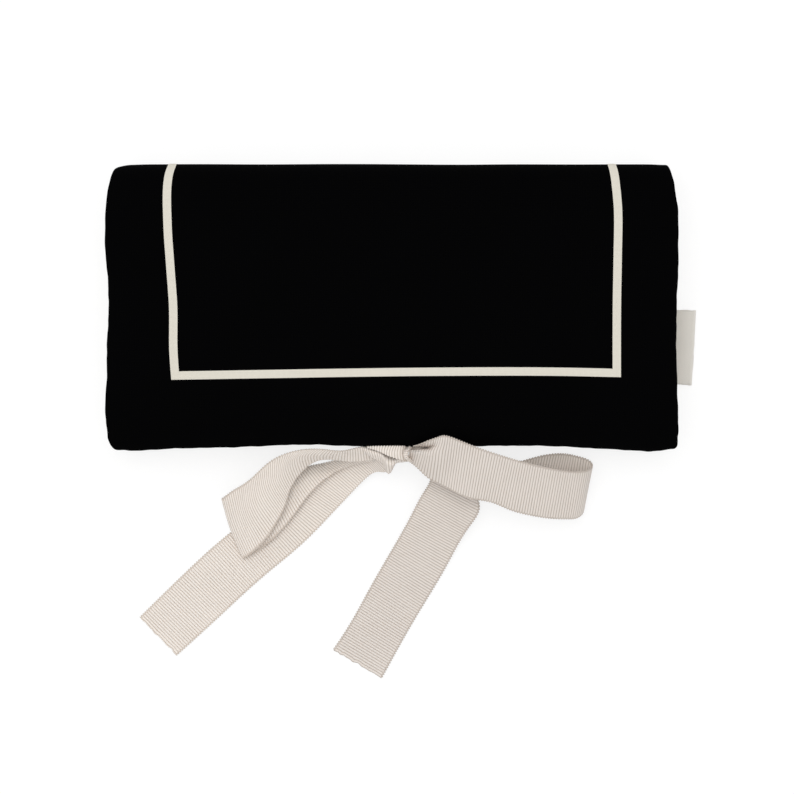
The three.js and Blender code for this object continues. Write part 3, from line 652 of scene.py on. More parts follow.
def cover_place(panel, seed):
    """The size of a cover's grid, and the function that places its points."""
    columns = SPAN_COLUMNS + 2 * last_ring
    rows = SPAN_ROWS + last_ring

    def place(u, v):
        i = np.rint(u * columns).astype(int)
        j = np.rint(v * rows).astype(int)
        from_left = np.minimum(i, columns - i)
        ring = np.minimum(np.minimum(from_left, j), last_ring)
        side = insets_on_rings(from_left, ring)
        front = insets_on_rings(j, ring)
        x_sign = np.where(i * 2 < columns, -1, 1)
        span = np.clip((i - last_ring) / SPAN_COLUMNS, 0, 1)
        rise = np.clip((j - last_ring) / SPAN_ROWS, 0, 1)
        on_side = (i < last_ring) | (i > columns - last_ring)
        radius = np.where(x_sign < 0, LEFT_CORNER_RADIUS, RIGHT_CORNER_RADIUS)
        round_side, round_front = rounded_corner(side, front, radius)
        corner = (ring < last_ring) & (from_left < last_ring) & (j < last_ring)
        side = np.where(corner, round_side, side)
        front = np.where(corner, round_front, front)
        x = (span * 2 - 1) * half_width
        for _ in range(3):
            run = (free_edge_run(x) - front) * (1 - rise)
            left = -half_width_at(run, -1, panel) + side
            right = half_width_at(run, 1, panel) - side
            across = left + (right - left) * span
            x = np.where(on_side, np.where(x_sign < 0, left, right), across)
        from_front = free_edge_run(x) - run
        from_side = np.minimum(x + half_width_at(run, -1, panel), half_width_at(run, 1, panel) - x)
        drop = edge_drop(run, x_sign)
        wall = (panel_thickness - ring_depth[ring]) / (panel_thickness - EDGE_DROP)
        seam_side = panel_thickness - wall * (panel_thickness - drop)
        face = crown_depth(from_side, from_front) * drop / EDGE_DROP
        turn = np.clip((run - spine_half) / fold_radius, 0, math.pi / 2)
        depth = np.where(ring < edge_ring, seam_side, face) - FOLD_BULGE * np.cos(turn)
        relief = cover_relief(x, run, np.minimum(from_side, from_front), seed)
        from_join = np.clip(run / JOIN_REACH, 0, 1)
        if panel == "back":
            depth = depth + BACK_SINK * from_join
            relief = relief * BACK_RELIEF
        depth = depth - relief * from_join
        return on_panel(x, run, depth, panel), np.stack([x, run], axis=1)

    return columns, rows, place


print("span of a cover between its edge rings:", SPAN_COLUMNS, "by", SPAN_ROWS)

# %% Covers of the flap and the back
COVER_THICKNESS = 0.9 * MM


def panel_cover(name, panel, seed):
    """A subdivided cover with the thickness of canvas."""
    columns, rows, place = cover_place(panel, seed)
    cover = cloth_grid(name, columns, rows, place, black_canvas)
    if panel == "back":
        cover.data.flip_normals()
    apply_modifier(cover, "SUBSURF", levels=1, render_levels=1)
    apply_modifier(cover, "SOLIDIFY", thickness=COVER_THICKNESS, offset=-1)
    crisp_rims(cover)
    print(name, len(cover.data.polygons), "faces")
    return cover


cover_flap = panel_cover("canvas_cover_flap", "flap", seed=1.7)
cover_back = panel_cover("canvas_cover_back", "back", seed=4.1)

# %% [markdown]
# The lining is the plain inner face. It starts in the seam, a little under the edge, and follows the same
# path at the panel's full thickness. A copy of the cover moved inwards would carry its puckers along, so it
# is a grid of its own, with waves of its own.

# %% Linings
LINING_ROUND = 4 * MM
LINING_SINK = 0.8 * MM
LINING_PROUD = 0.3 * MM
LINING_WAVE = 0.25 * MM
LINING_WAVES_PER_METRE = 45
LINING_THICKNESS = 0.5 * MM
LINING_COLUMNS = 96
LINING_ROWS = 60


def lining_place(panel, seed):
    """The function that places a lining's points."""
    def place(u, v):
        eased = (1 - np.cos(math.pi * u)) / 2
        x = (eased * 2 - 1) * half_width
        for _ in range(3):
            run = (free_edge_run(x) - SEAM_INSET) * (1 - v)
            left = -half_width_at(run, -1, panel) + SEAM_INSET
            right = half_width_at(run, 1, panel) - SEAM_INSET
            x = left + (right - left) * eased
        inside = np.minimum(np.minimum(x - left, right - x), free_edge_run(x) - SEAM_INSET - run)
        share = np.clip(1 - inside / LINING_ROUND, 0, 1)
        flat = np.stack([x, run], axis=1)
        relief = LINING_WAVE * noise_at(flat, LINING_WAVES_PER_METRE, seed) * (1 - share)
        depth = panel_thickness + LINING_PROUD - (LINING_SINK + LINING_PROUD) * share ** 2 + relief
        return on_panel(x, run, depth, panel), flat

    return place


def panel_lining(name, panel, seed):
    """A lining with the thickness of cotton."""
    lining = cloth_grid(name, LINING_COLUMNS, LINING_ROWS, lining_place(panel, seed), cream_lining)
    if panel == "flap":
        lining.data.flip_normals()
    return apply_modifier(lining, "SOLIDIFY", thickness=LINING_THICKNESS, offset=-1)


lining_flap = panel_lining("cotton_lining_flap", "flap", seed=8.3)
lining_back = panel_lining("cotton_lining_back", "back", seed=2.9)

# %% [markdown]
# The cream line is a narrow tape let into the canvas. It could be a stripe in the canvas finish, but a real
# tape has a thickness that catches the light. It is drawn by its outer edge, which the photograph shows, and
# lies a hair above the cover: each of its points is dropped on the cover's mesh.

# %% Path of the frame line
LINE_WIDTH_MM = 3.5
LINE_FRONT_MM = -30.0
SIDE_STEPS = 90
FRONT_STEPS = 130
fold_run_mm = (flat_start + fold_y - fold_radius) / MM
left_line_mm = through([(-31, -92.7), (-20, -93.5), (0, -93.7), (17, -94.9), (34, -96.0), (54, -95.7),
                        (60, -94.6)])
right_line_mm = through([(-31, 95.7), (3, 95.8), (20, 96.1), (43, 96.1), (52, 95.2), (60, 94.2)])
front_line_mm = through([(-93, -30.9), (-44, -30.1), (-20, -29.7), (14, -29.3), (72, -29.3), (96, -29.8)])


def line_corner(side_line):
    """X and Y in mm at which a side of the line meets its front."""
    y = LINE_FRONT_MM
    for _ in range(4):
        x = float(side_line(y))
        y = float(front_line_mm(x))
    return x, y


def line_side(side_line, corner_y, inward):
    """Outer and inner points in mm along one side, from the spine's middle to the corner."""
    end = fold_run_mm - corner_y
    pairs = []
    for share in np.linspace(0, 1, SIDE_STEPS):
        run = share * end
        inner_run = share * (end - LINE_WIDTH_MM)
        outer = float(side_line(fold_run_mm - run))
        inner = float(side_line(fold_run_mm - inner_run)) + inward * LINE_WIDTH_MM
        pairs.append(((outer, run), (inner, inner_run)))
    return pairs


def line_path():
    """Outer and inner points of the tape in X and run, from the spine's middle and round to it again."""
    left_x, left_y = line_corner(left_line_mm)
    right_x, right_y = line_corner(right_line_mm)
    pairs = line_side(left_line_mm, left_y, 1)
    for share in np.linspace(0, 1, FRONT_STEPS)[1:-1]:
        x = left_x + (right_x - left_x) * share
        inner = left_x + LINE_WIDTH_MM + (right_x - left_x - 2 * LINE_WIDTH_MM) * share
        pairs.append((
            (x, fold_run_mm - float(front_line_mm(x))),
            (inner, fold_run_mm - float(front_line_mm(inner)) - LINE_WIDTH_MM),
        ))
    pairs += line_side(right_line_mm, right_y, -1)[::-1]
    return np.array(pairs) * MM


line_pairs = line_path()
line_x = line_pairs[:, 0, 0] / MM
print("frame line:", len(line_pairs), "steps, front", round(line_x.max() - line_x.min()), "mm long")

# %% Frame line
LINE_RISE = 0.12 * MM
LINE_CROWN = 0.1 * MM
LINE_RIM_SLOPE = 5
LINE_THICKNESS = 0.35 * MM
LINE_COLUMNS = 6
COVER_END = 0.4 * MM
LAYER_STEP = 0.5 * MM
RAY_START = 2 * MM
RAY_LENGTH = 8 * MM


def surface_of(piece):
    """A piece's faces, ready to be hit by rays."""
    mesh = bmesh.new()
    mesh.from_mesh(piece.data)
    tree = BVHTree.FromBMesh(mesh)
    mesh.free()
    return tree


def frame_tape(name, panel, cover):
    """The tape of one panel, dropped on its cover."""
    surface = surface_of(cover)

    def place(u, v):
        step = np.rint(v * (len(line_pairs) - 1)).astype(int)
        flat = line_pairs[step, 0] + (line_pairs[step, 1] - line_pairs[step, 0]) * u[:, None]
        x, run = flat.T
        level = np.zeros(len(u))
        on_cover = np.maximum(run, COVER_END)
        over_cover = on_panel(x, on_cover, level - LAYER_STEP, panel)
        under_face = on_panel(x, on_cover, level + LAYER_STEP, panel)
        # The two covers meet in the middle of the spine, so a ray there could slip past this one.
        beyond_cover = on_panel(x, run, level, panel) - on_panel(x, on_cover, level, panel)
        from_rim = np.clip(np.minimum(u, 1 - u) * LINE_RIM_SLOPE, 0, 1)
        points = []
        for start, end, share in zip(over_cover, under_face, from_rim):
            inward = Vector(end - start).normalized()
            hit = surface.ray_cast(Vector(start) - inward * RAY_START, inward, RAY_LENGTH)[0]
            base = hit if hit else Vector(start)
            points.append(base - inward * (LINE_RISE + LINE_CROWN * share))
        return np.array(points) + beyond_cover, flat

    tape = cloth_grid(name, LINE_COLUMNS, len(line_pairs) - 1, place, cream_tape)
    if panel == "flap":
        tape.data.flip_normals()
    apply_modifier(tape, "SOLIDIFY", thickness=LINE_THICKNESS, offset=-1)
    return crisp_rims(tape)


tape_flap = frame_tape("frame_tape_flap", "flap", cover_flap)
tape_back = frame_tape("frame_tape_back", "back", cover_back)

# %% [markdown]
# The pieces of each panel cross a fold, where a rigid piece would tear open when the case opens. Their
# transforms are baked into their meshes, and each stands for the imported solids in the same place.

# %% Panels stand in for the imported solids
for piece, slot_name in ((cover_flap, "canvas"), (lining_flap, "lining"), (tape_flap, "line")):
    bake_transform(piece)
for piece, slot_name in ((cover_back, "canvas"), (lining_back, "lining"), (tape_back, "line")):
    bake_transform(piece)
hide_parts("outer_canvas_flap", "padding_flap", "outer_canvas_spine", "padding_spine")
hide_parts("outer_canvas_back", "padding_back")
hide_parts("lining_flap", "lining_spine")
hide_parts("lining_back")
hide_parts("frame_line_flap", "frame_line_spine_left", "frame_line_spine_right")
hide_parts("frame_line_back")

# %% [markdown]
# The label is a strip of woven cotton, folded in two and caught in the seam of the back panel. It is bare.
# A flat card would do from above, but from the side the real one shows two layers that lie a little apart
# and meet in a round fold, so its section is that loop.

# %% Label tab
LABEL_TUCK = 3 * MM
LABEL_ROUND = 0.55 * MM
LABEL_THICKNESS = 0.35 * MM
LABEL_TOP_IN = 0.3 * MM
LABEL_BOTTOM_IN = 0.5 * MM
LABEL_ASKEW = 0.9 * MM
LABEL_WAVE = 0.5 * MM
LABEL_WAVES_PER_METRE = 70
LABEL_FRAY = 0.3 * MM
LABEL_FRAYS_PER_METRE = 500
LABEL_FOLD_WAVE = 0.25 * MM
LABEL_FOLD_WAVES_PER_METRE = 300
label_low, label_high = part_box("label_tab")
label_reach = label_high.x - label_low.x


def stands_for(piece, body, slot_name, *nodes):
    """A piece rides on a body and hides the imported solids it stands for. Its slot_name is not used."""
    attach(piece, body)
    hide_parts(*nodes)


def label_place(u, v):
    """The strip runs from the seam out to its fold and back, a little askew at its outer end."""
    half_turn = LABEL_ROUND * math.pi / 2
    run = (v * 2 - 1) * (label_reach + LABEL_TUCK - LABEL_ROUND + half_turn)
    from_fold = np.abs(run)
    arc = np.clip(from_fold / LABEL_ROUND, 0, math.pi / 2)
    rest = np.maximum(from_fold - half_turn, 0)
    x = label_high.x - LABEL_ROUND + LABEL_ROUND * np.cos(arc) - rest
    z = (label_low.z + label_high.z) / 2 + np.sign(run) * LABEL_ROUND * np.sin(arc)
    out = np.clip((x - label_low.x) / label_reach, 0, 1)
    top = label_high.y - LABEL_TOP_IN * out
    bottom = label_low.y - LABEL_BOTTOM_IN * out
    y = bottom + (top - bottom) * u
    flat = np.stack([x, y], axis=1)
    wave = LABEL_WAVE * noise_at(flat, LABEL_WAVES_PER_METRE, seed=5.5)
    fray = LABEL_FRAY * noise_at(flat, LABEL_FRAYS_PER_METRE, seed=2.5)
    fold_wave = LABEL_FOLD_WAVE * noise_at(flat, LABEL_FOLD_WAVES_PER_METRE, seed=9.5)
    z = z + wave * out
    y = y + fray * (2 * u - 1) ** 4
    x = x + (LABEL_ASKEW * (2 * u - 1) + fold_wave) * out
    return stacked(x, y, z), np.stack([y, run], axis=1)


label = cloth_grid("label_tab_folded", across=24, along=60, place=label_place, material=woven_label)
apply_modifier(label, "SOLIDIFY", thickness=LABEL_THICKNESS, offset=0)
stands_for(label, "back", "label", "label_tab")

# %% [markdown]
# Each ribbon is woven grosgrain, 22 mm wide. Cloth simulation seldom falls into the bow that one photograph
# shows, so each stretch follows stations that are read from it. A station lies across the ribbon and gives
# each of its places as a pixel and a share of the closed height. Smooth curves run through the stations, and
# the stretch is measured along its middle, so that ribs one pitch apart can be raised on both of its faces.

# %% Smooth curves through stations
EVEN_SHARES = (0, 0.5, 1)
STATION_GAP = 0.5 * MM
FINE_STEPS = 60


def spline(points, places, at):
    """A curve of continuous bend through points at given places, read at other places."""
    count = len(points)
    gaps = np.diff(places)
    matrix = np.eye(count)
    target = np.zeros((count, 3))
    for i in range(1, count - 1):
        matrix[i, i - 1:i + 2] = gaps[i - 1], 2 * (gaps[i - 1] + gaps[i]), gaps[i]
        after = (points[i + 1] - points[i]) / gaps[i]
        before = (points[i] - points[i - 1]) / gaps[i - 1]
        target[i] = 6 * (after - before)
    bends = np.linalg.solve(matrix, target)
    i = np.clip(np.searchsorted(places, at) - 1, 0, count - 2)
    gap = gaps[i][:, None]
    left = (places[i + 1] - at)[:, None]
    right = (at - places[i])[:, None]
    return (
        (bends[i] * left ** 3 + bends[i + 1] * right ** 3) / (6 * gap)
        + (points[i] / gap - bends[i] * gap / 6) * left
        + (points[i + 1] / gap - bends[i + 1] * gap / 6) * right
    )


def ribbon_curves(stations, shares):
    """Curves along a stretch, one for each share across it, and the length along its middle."""
    ends = np.array([[station[0], station[-1]] for station in stations], float)
    columns = []
    for k, share in enumerate(shares):
        column = ends[:, 0] + (ends[:, 1] - ends[:, 0]) * share
        for i, station in enumerate(stations):
            if len(station) == len(shares):
                column[i] = station[k]
        columns.append(np.array([at_pixel(place[:2], place[2] * closed_height) for place in column]))
    middle = (columns[0] + columns[-1]) / 2
    steps = np.linalg.norm(np.diff(middle, axis=0), axis=1) + STATION_GAP
    places = np.concatenate([[0], np.cumsum(steps)])
    fine = np.linspace(0, places[-1], FINE_STEPS * len(stations))
    curves = [spline(column, places, fine) for column in columns]
    steps = np.linalg.norm(np.diff((curves[0] + curves[-1]) / 2, axis=0), axis=1)
    return curves, np.concatenate([[0], np.cumsum(steps)])


print("each curve is read at", FINE_STEPS, "places from one station to the next")

# %% Joining edges and pieces
WELD_GAP = 0.001 * MM


def weld(piece, fill=False):
    """Joins the edges of a rolled grid, and turns its faces outwards."""
    select_only(piece)
    bpy.ops.object.mode_set(mode="EDIT")
    bpy.ops.mesh.select_all(action="SELECT")
    bpy.ops.mesh.remove_doubles(threshold=WELD_GAP)
    if fill:
        bpy.ops.mesh.fill_holes(sides=0)
    bpy.ops.mesh.normals_make_consistent(inside=False)
    bpy.ops.object.mode_set(mode="OBJECT")
    return piece


def joined(name, *parts):
    """One object made of several."""
    select_only(*parts)
    bpy.ops.object.join()
    parts[0].name = name
    return parts[0]


print("points closer than", WELD_GAP / MM, "mm are welded")

# %% A stretch of ribbon
HALF_FACE = [0, 0.003, 0.011, 0.026, 0.06, 0.1, 0.15, 0.21, 0.27, 0.33, 0.41]
FACE_SHARES = np.array(HALF_FACE + [0.5] + [1 - share for share in reversed(HALF_FACE)])
STEPS_PER_RIB = 6
RIBBON_HALF = 0.18 * MM
RIB_HEIGHT = 0.1 * MM
SELVEDGE_WAVE = 0.6 * MM
SELVEDGE_FLAT = 0.7
SLOPE_STEP = 0.2 * MM
SLOPE_SHARE = 0.02
FRAY_REACH = 3 * MM
FRAY_WAVES = 9


def unit(vectors):
    """Vectors of the same directions, one long."""
    return vectors / np.maximum(np.linalg.norm(vectors, axis=1), 1e-12)[:, None]


def ribbon_stretch(name, stations, shares=EVEN_SHARES, frayed=0.0, seed=0.0, material=cream_grosgrain):
    """A stretch of ribbed ribbon through its stations. frayed is how ragged its far end is cut."""
    curves, length = ribbon_curves(stations, shares)
    total = length[-1]
    weights = [through([(share, float(i == k)) for i, share in enumerate(shares)])
               for k in range(len(shares))]

    def on_ribbon(share, at):
        point = 0
        for curve, weight in zip(curves, weights):
            along = np.stack([np.interp(at, length, curve[:, k]) for k in range(3)], axis=1)
            point = point + along * weight(share)[:, None]
        return point

    last = len(FACE_SHARES) - 1
    rows = int(total / RIB_PITCH * STEPS_PER_RIB)

    def place(u, v):
        i = np.rint(u * 2 * last).astype(int)
        face = np.where(i <= last, 1.0, -1.0)
        share = FACE_SHARES[np.where(i <= last, i, 2 * last - i)]
        from_edge = np.minimum(share, 1 - share) * RIBBON_WIDTH
        at = v * rows * RIB_PITCH / STEPS_PER_RIB
        rib = np.abs(np.sin(math.pi * at / RIB_PITCH))
        ahead = on_ribbon(share, np.minimum(at + SLOPE_STEP, total))
        forward = ahead - on_ribbon(share, np.maximum(at - SLOPE_STEP, 0))
        farther = on_ribbon(np.minimum(share + SLOPE_SHARE, 1), at)
        across = farther - on_ribbon(np.maximum(share - SLOPE_SHARE, 0), at)
        bead = np.clip(1 - from_edge / SELVEDGE, 0, 1)
        selvedge = bead * np.sign(share - 0.5) * (rib - 0.5) * SELVEDGE_WAVE
        shape = np.sqrt(1 - np.clip(1 - from_edge / RIBBON_HALF, 0, 1) ** 2)
        shape = shape * np.where((v > 0) & (v < 1), 1, 0)
        half = (RIBBON_HALF + RIB_HEIGHT * rib * (1 - SELVEDGE_FLAT * bead)) * shape
        raised = unit(np.cross(forward, across)) * (half * face)[:, None]
        points = on_ribbon(share, at) + raised + unit(across) * selvedge[:, None]
        if frayed:
            near = np.clip(1 - (total - at) / FRAY_REACH, 0, 1)
            jag = noise_at(np.stack([share, share], axis=1), FRAY_WAVES, seed)
            points = points + unit(forward) * (near * jag * frayed)[:, None]
        return points, np.stack([share * RIBBON_WIDTH, at], axis=1)

    stretch = cloth_grid(name, 2 * last, rows, place, material)
    widths = np.linalg.norm(curves[-1] - curves[0], axis=1) / MM
    print(name, "length", round(total / MM), "mm, width", widths.min().round(1), "to", widths.max().round(1))
    return weld(stretch)


print("points across each face of the ribbon:", len(FACE_SHARES))

# %% [markdown]
# The left loop leaves the knot on its edge, opens and falls over into a flat fold at its far end, and
# comes back underneath. The photograph shows both edges of its upper run and one edge of its lower run, so
# the stations follow these, and the hidden edge keeps the ribbon's width.

# %% Left loop
left_loop_stations = [
    [(398, 455, 0.52), (398, 459, 0.44)],
    [(380, 451, 0.58), (382, 458, 0.44)],
    [(364, 447, 0.66), (366, 460.5, 0.44)],
    [(345, 450.5, 0.74), (344, 461, 0.44)],
    [(324, 449.5, 0.78), (318, 455, 0.66), (318, 460.5, 0.42)],
    [(304, 449.5, 0.76), (296, 459, 0.64), (300, 474, 0.38)],
    [(286, 453.5, 0.7), (282, 472, 0.56), (290, 490, 0.34)],
    [(270, 461.5, 0.6), (272, 484, 0.49), (285, 506, 0.3)],
    [(256, 474, 0.5), (261, 498, 0.42), (277, 522, 0.27)],
    [(244, 484, 0.4), (249, 512, 0.34), (265, 540, 0.22)],
    [(233, 490.5, 0.32), (240, 519, 0.27), (254, 551, 0.18)],
    [(225.5, 496, 0.25), (233.5, 525, 0.2), (247, 556.5, 0.14)],
    [(222, 499, 0.15), (230.5, 528, 0.11), (243, 558.5, 0.08)],
    [(229, 496, 0.09), (249, 556, 0.06)],
    [(250, 486, 0.12), (270, 541.5, 0.12)],
    [(266, 480, 0.18), (287, 524, 0.13)],
    [(286, 474, 0.16), (304, 501, 0.16)],
    [(305, 467, 0.12), (319, 484, 0.2)],
    [(324, 463, 0.12), (336, 472, 0.24)],
    [(344, 458, 0.26), (353, 465, 0.28)],
    [(370, 456, 0.44), (376, 461, 0.36)],
    [(396, 454, 0.5), (397, 459, 0.38)],
]
left_loop = ribbon_stretch("left_loop", left_loop_stations)

# %% [markdown]
# The left tail leaves the knot as a narrow band, turns over once in a soft twist and then lies flat on the
# table, under the loop. One stretch through both would be squeezed thin in the twist, so the turn and the
# flat tail are two. The cut end has begun to fray.

# %% Left tail
TAIL_FRAY = 0.8 * MM
left_turn_stations = [
    [(409, 457, 0.66), (409, 461, 0.52)],
    [(402, 457.6, 0.56), (402, 460, 0.7), (402, 462, 0.54)],
    [(396, 456.6, 0.58), (396, 461, 0.7), (395, 464, 0.5)],
    [(391, 454.5, 0.6), (392, 464, 0.7), (392, 470, 0.46)],
    [(386, 452.5, 0.6), (387, 462, 0.7), (388.5, 473.5, 0.44)],
    [(381, 450, 0.62), (383, 457, 0.72), (384.5, 467, 0.5)],
    [(375, 448.4, 0.64), (377, 453.5, 0.72), (379, 460.5, 0.58)],
    [(369, 447.4, 0.65), (370.5, 452, 0.7), (372.5, 457.5, 0.6)],
    [(362, 446.6, 0.67), (364, 450, 0.64)],
]
left_tail_stations = [
    [(377, 449, 0.5), (391, 463, 0.46)],
    [(371, 454, 0.42), (387, 471, 0.36)],
    [(362, 457, 0.28), (377, 471.5, 0.22)],
    [(350, 462, 0.18), (367, 477, 0.14)],
    [(326, 472, 0.1), (351, 493, 0.08)],
    [(300, 486, 0.05), (335, 510, 0.05)],
    [(270, 505, 0.03), (306, 540, 0.03)],
    [(230, 533, 0.03), (266, 574, 0.03)],
    [(183, 575, 0.03), (222.5, 613.5, 0.03)],
    [(139.5, 617.5, 0.03), (176.5, 655.5, 0.03)],
]
left_turn = ribbon_stretch("left_turn", left_turn_stations)
left_tail = ribbon_stretch("left_tail", left_tail_stations, frayed=TAIL_FRAY, seed=3.0)

# %% [markdown]
# The right loop rises over the flap's edge, lies nearly flat on top, turns at its right end and comes back
# underneath. Close to the knot its upper edge is pinched, which leaves a dark crease. That needs more
# places across the ribbon than the three of a plain stretch. Its tail comes out from under it and lies on
# the table. This ribbon takes a darker, greyer copy of the grosgrain: painted shade, as if more light fell
# from the left.

# %% Right loop and right tail
CREASE_SHARES = (0, 0.1, 0.21, 0.33, 0.5, 1)
right_loop_stations = [
    [(413, 446, 0.8), (412, 447, 0.62), (411, 448.8, 0.45), (409, 450.4, 0.76), (408.6, 453, 0.74),
     (407.5, 460.5, 0.54)],
    [(419, 444.4, 0.9), (418, 446.6, 0.64), (417, 448.8, 0.42), (415, 450.6, 0.84), (414.3, 453.9, 0.8),
     (412, 463.5, 0.58)],
    [(428, 440.6, 0.98), (427, 445, 0.84), (426, 448.2, 0.5), (423.5, 450.6, 0.88), (422.3, 455.3, 0.84),
     (418.5, 469, 0.62)],
    [(437, 437.4, 1.03), (436, 442, 0.98), (434.5, 446.5, 0.89), (431.5, 451.5, 0.93), (430.4, 458, 0.88),
     (427, 477, 0.63)],
    [(443.5, 435.6, 1.06), (443, 440, 1.04), (442, 445, 1.0), (440, 451, 0.97), (439, 459, 0.92),
     (436, 482.5, 0.65)],
    [(453, 437.8, 1.05), (446, 487.5, 0.67)],
    [(466, 443, 1.02), (458, 494, 0.69)],
    [(482, 449, 1.0), (473, 499.3, 0.7)],
    [(500, 455, 0.97), (490, 502, 0.68)],
    [(520, 461, 0.93), (510, 510, 0.64)],
    [(540, 466, 0.87), (531, 515.5, 0.58)],
    [(560, 470, 0.8), (551, 518.5, 0.5)],
    [(576, 471.5, 0.7), (568, 519, 0.42)],
    [(587, 470, 0.58), (586, 475.5, 0.565), (585, 481, 0.545), (583.8, 487, 0.52), (582.4, 495, 0.475),
     (578, 517.5, 0.34)],
    [(592.5, 465.5, 0.45), (591.6, 470, 0.44), (590.6, 475, 0.42), (589.5, 480.7, 0.395), (587.8, 489, 0.36),
     (583.5, 511, 0.24)],
    [(590, 461, 0.4), (589, 465.5, 0.38), (588.2, 471, 0.35), (587.4, 477, 0.32), (586, 485, 0.28),
     (581, 507, 0.14)],
    [(578, 456.3, 0.4), (570, 505, 0.09)],
    [(560, 453.5, 0.38), (548, 504, 0.08)],
    [(540, 456, 0.36), (530, 503, 0.08)],
    [(520, 461.5, 0.34), (512, 502, 0.08)],
    [(498, 465, 0.32), (490, 494, 0.1)],
    [(470, 464, 0.32), (464, 487, 0.16)],
    [(440, 459, 0.34), (437, 472, 0.28)],
    [(418, 453, 0.5), (417, 461, 0.44)],
    [(410, 451, 0.56), (410, 459, 0.46)],
]
right_tail_stations = [
    [(409, 455, 0.52), (411, 459, 0.52)],
    [(418, 460, 0.46), (432, 465, 0.46)],
    [(427, 470, 0.4), (462, 480, 0.42)],
    [(430, 481, 0.32), (479.5, 505, 0.34)],
    [(422, 495, 0.24), (472, 523, 0.26)],
    [(412, 514, 0.15), (460.5, 540, 0.16)],
    [(400, 536, 0.08), (448, 563, 0.08)],
    [(370, 588, 0.03), (416, 617, 0.03)],
    [(350, 624, 0.03), (396, 652, 0.03)],
    [(333, 650, 0.03), (381.5, 678.5, 0.03)],
]
right_loop = ribbon_stretch("right_loop", right_loop_stations, CREASE_SHARES, material=shaded_grosgrain)
right_tail = ribbon_stretch("right_tail", right_tail_stations, frayed=TAIL_FRAY, seed=6.0,
                            material=shaded_grosgrain)

# %% [markdown]
# Each ribbon starts in the seam of its panel's free edge and narrows to the knot. Behind the bow this
# stretch is all that holds the two together. A flat fold of the wrap shows beside it, along the flap's edge.
# They are hardly seen from above, but from the front the bow would hang in the air without them.

# %% Leads from the seams to the knot
lead_back_stations = [
    [(356, 440, 0.1), (408, 440, 0.1)],
    [(364, 446, 0.14), (406, 447, 0.14)],
    [(390, 455, 0.36), (401, 457, 0.36)],
]
lead_flap_stations = [
    [(386, 438, 0.68), (437, 438, 0.68)],
    [(390, 445, 0.6), (428, 446, 0.6)],
    [(402, 451, 0.6), (414, 451, 0.6)],
]
wrap_fold_stations = [
    [(409, 446.5, 0.6), (406, 460, 0.62)],
    [(402, 446, 0.79), (401, 453, 0.82), (402, 460, 0.76)],
    [(393, 446, 0.79), (391, 452, 0.8), (391, 456.8, 0.78)],
    [(383, 446, 0.78), (382, 449.5, 0.78), (382, 452.8, 0.77)],
    [(374, 446.2, 0.77), (374, 448, 0.76), (374, 449.5, 0.75)],
    [(367, 446.4, 0.73), (367, 447.6, 0.71)],
]
lead_back = ribbon_stretch("lead_back", lead_back_stations)
lead_flap = ribbon_stretch("lead_flap", lead_flap_stations)
wrap_fold = ribbon_stretch("wrap_fold", wrap_fold_stations)

# %% [markdown]
# The knot is the ribbon wrapped once round the gathered strands. Gathering folds it lengthwise, so the
# wrap is a narrow rounded band with a few creases that run round it. It leans to the left at the top. A
# plain ring would be too even, so a grid is rolled up twice by formula and its edges are welded.

# %% Knot
KNOT_PIXEL = (412, 453.8)
KNOT_LEVEL = 0.62
KNOT_HALF = Vector((0.8 * MM, 2.7 * MM, 7.8 * MM))
KNOT_BAND = 0.85 * MM
KNOT_LEAN = 2.7 * MM
KNOT_CREASES = 4
KNOT_CREASE_DEPTH = 0.2
KNOT_CREASE_SWAY = 0.6
KNOT_WRAP = 30 * MM
knot_centre = at_pixel(KNOT_PIXEL, KNOT_LEVEL * closed_height)


def knot_place(u, v):
    """u runs round the gathered strands, and v round the section of the band."""
    round_turn = u * 2 * math.pi
    section = v * 2 * math.pi
    sway = KNOT_CREASE_SWAY * np.sin(round_turn)
    crease = 1 + KNOT_CREASE_DEPTH * np.cos(KNOT_CREASES * section + sway)
    out = KNOT_BAND * np.sin(section) * crease
    y = (KNOT_HALF.y + out) * np.cos(round_turn)
    z = (KNOT_HALF.z + out) * np.sin(round_turn)
    x = KNOT_HALF.x * np.cos(section) * crease - KNOT_LEAN * np.sin(round_turn)
    points = stacked(x, y, z) + np.array(knot_centre)
    return points, np.stack([v * RIBBON_WIDTH, u * KNOT_WRAP], axis=1)


knot = weld(cloth_grid("knot", across=96, along=40, place=knot_place, material=cream_grosgrain))


def tie_ribbon(body, *stretches):
    """One ribbon made of its stretches. It rides on the body whose seam holds it."""
    ribbon = joined(f"grosgrain_ribbon_{body}", *stretches)
    stands_for(ribbon, body, "ribbon", f"ribbon_{body}")
    return ribbon


tie_ribbon("back", left_loop, left_tail, left_turn, lead_back)
ribbon_flap = tie_ribbon("flap", right_loop, right_tail, lead_flap, wrap_fold, knot)
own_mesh(ribbon_flap)

# %% [markdown]
# The zip pockets are flat cotton sewn down at their ends and along their front, so that the middle can
# rise. Solid slabs of that height would look like boxes, so each is a sheet in the place of its packed
# solid, with soft slopes where that has sharp breaks. The zip tapes are raised in the same way.

# %% Pocket cloth
POCKET_SLOPE = 6 * MM
POCKET_CLEARANCE = 0.3 * MM
POCKET_WAVE = 0.3 * MM
POCKET_WAVES_PER_METRE = 55
COTTON_THICKNESS = 0.6 * MM
WEBBING_THICKNESS = 0.5 * MM


def flat_size(node):
    """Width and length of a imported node."""
    low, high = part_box(node)
    return high.x - low.x, high.y - low.y


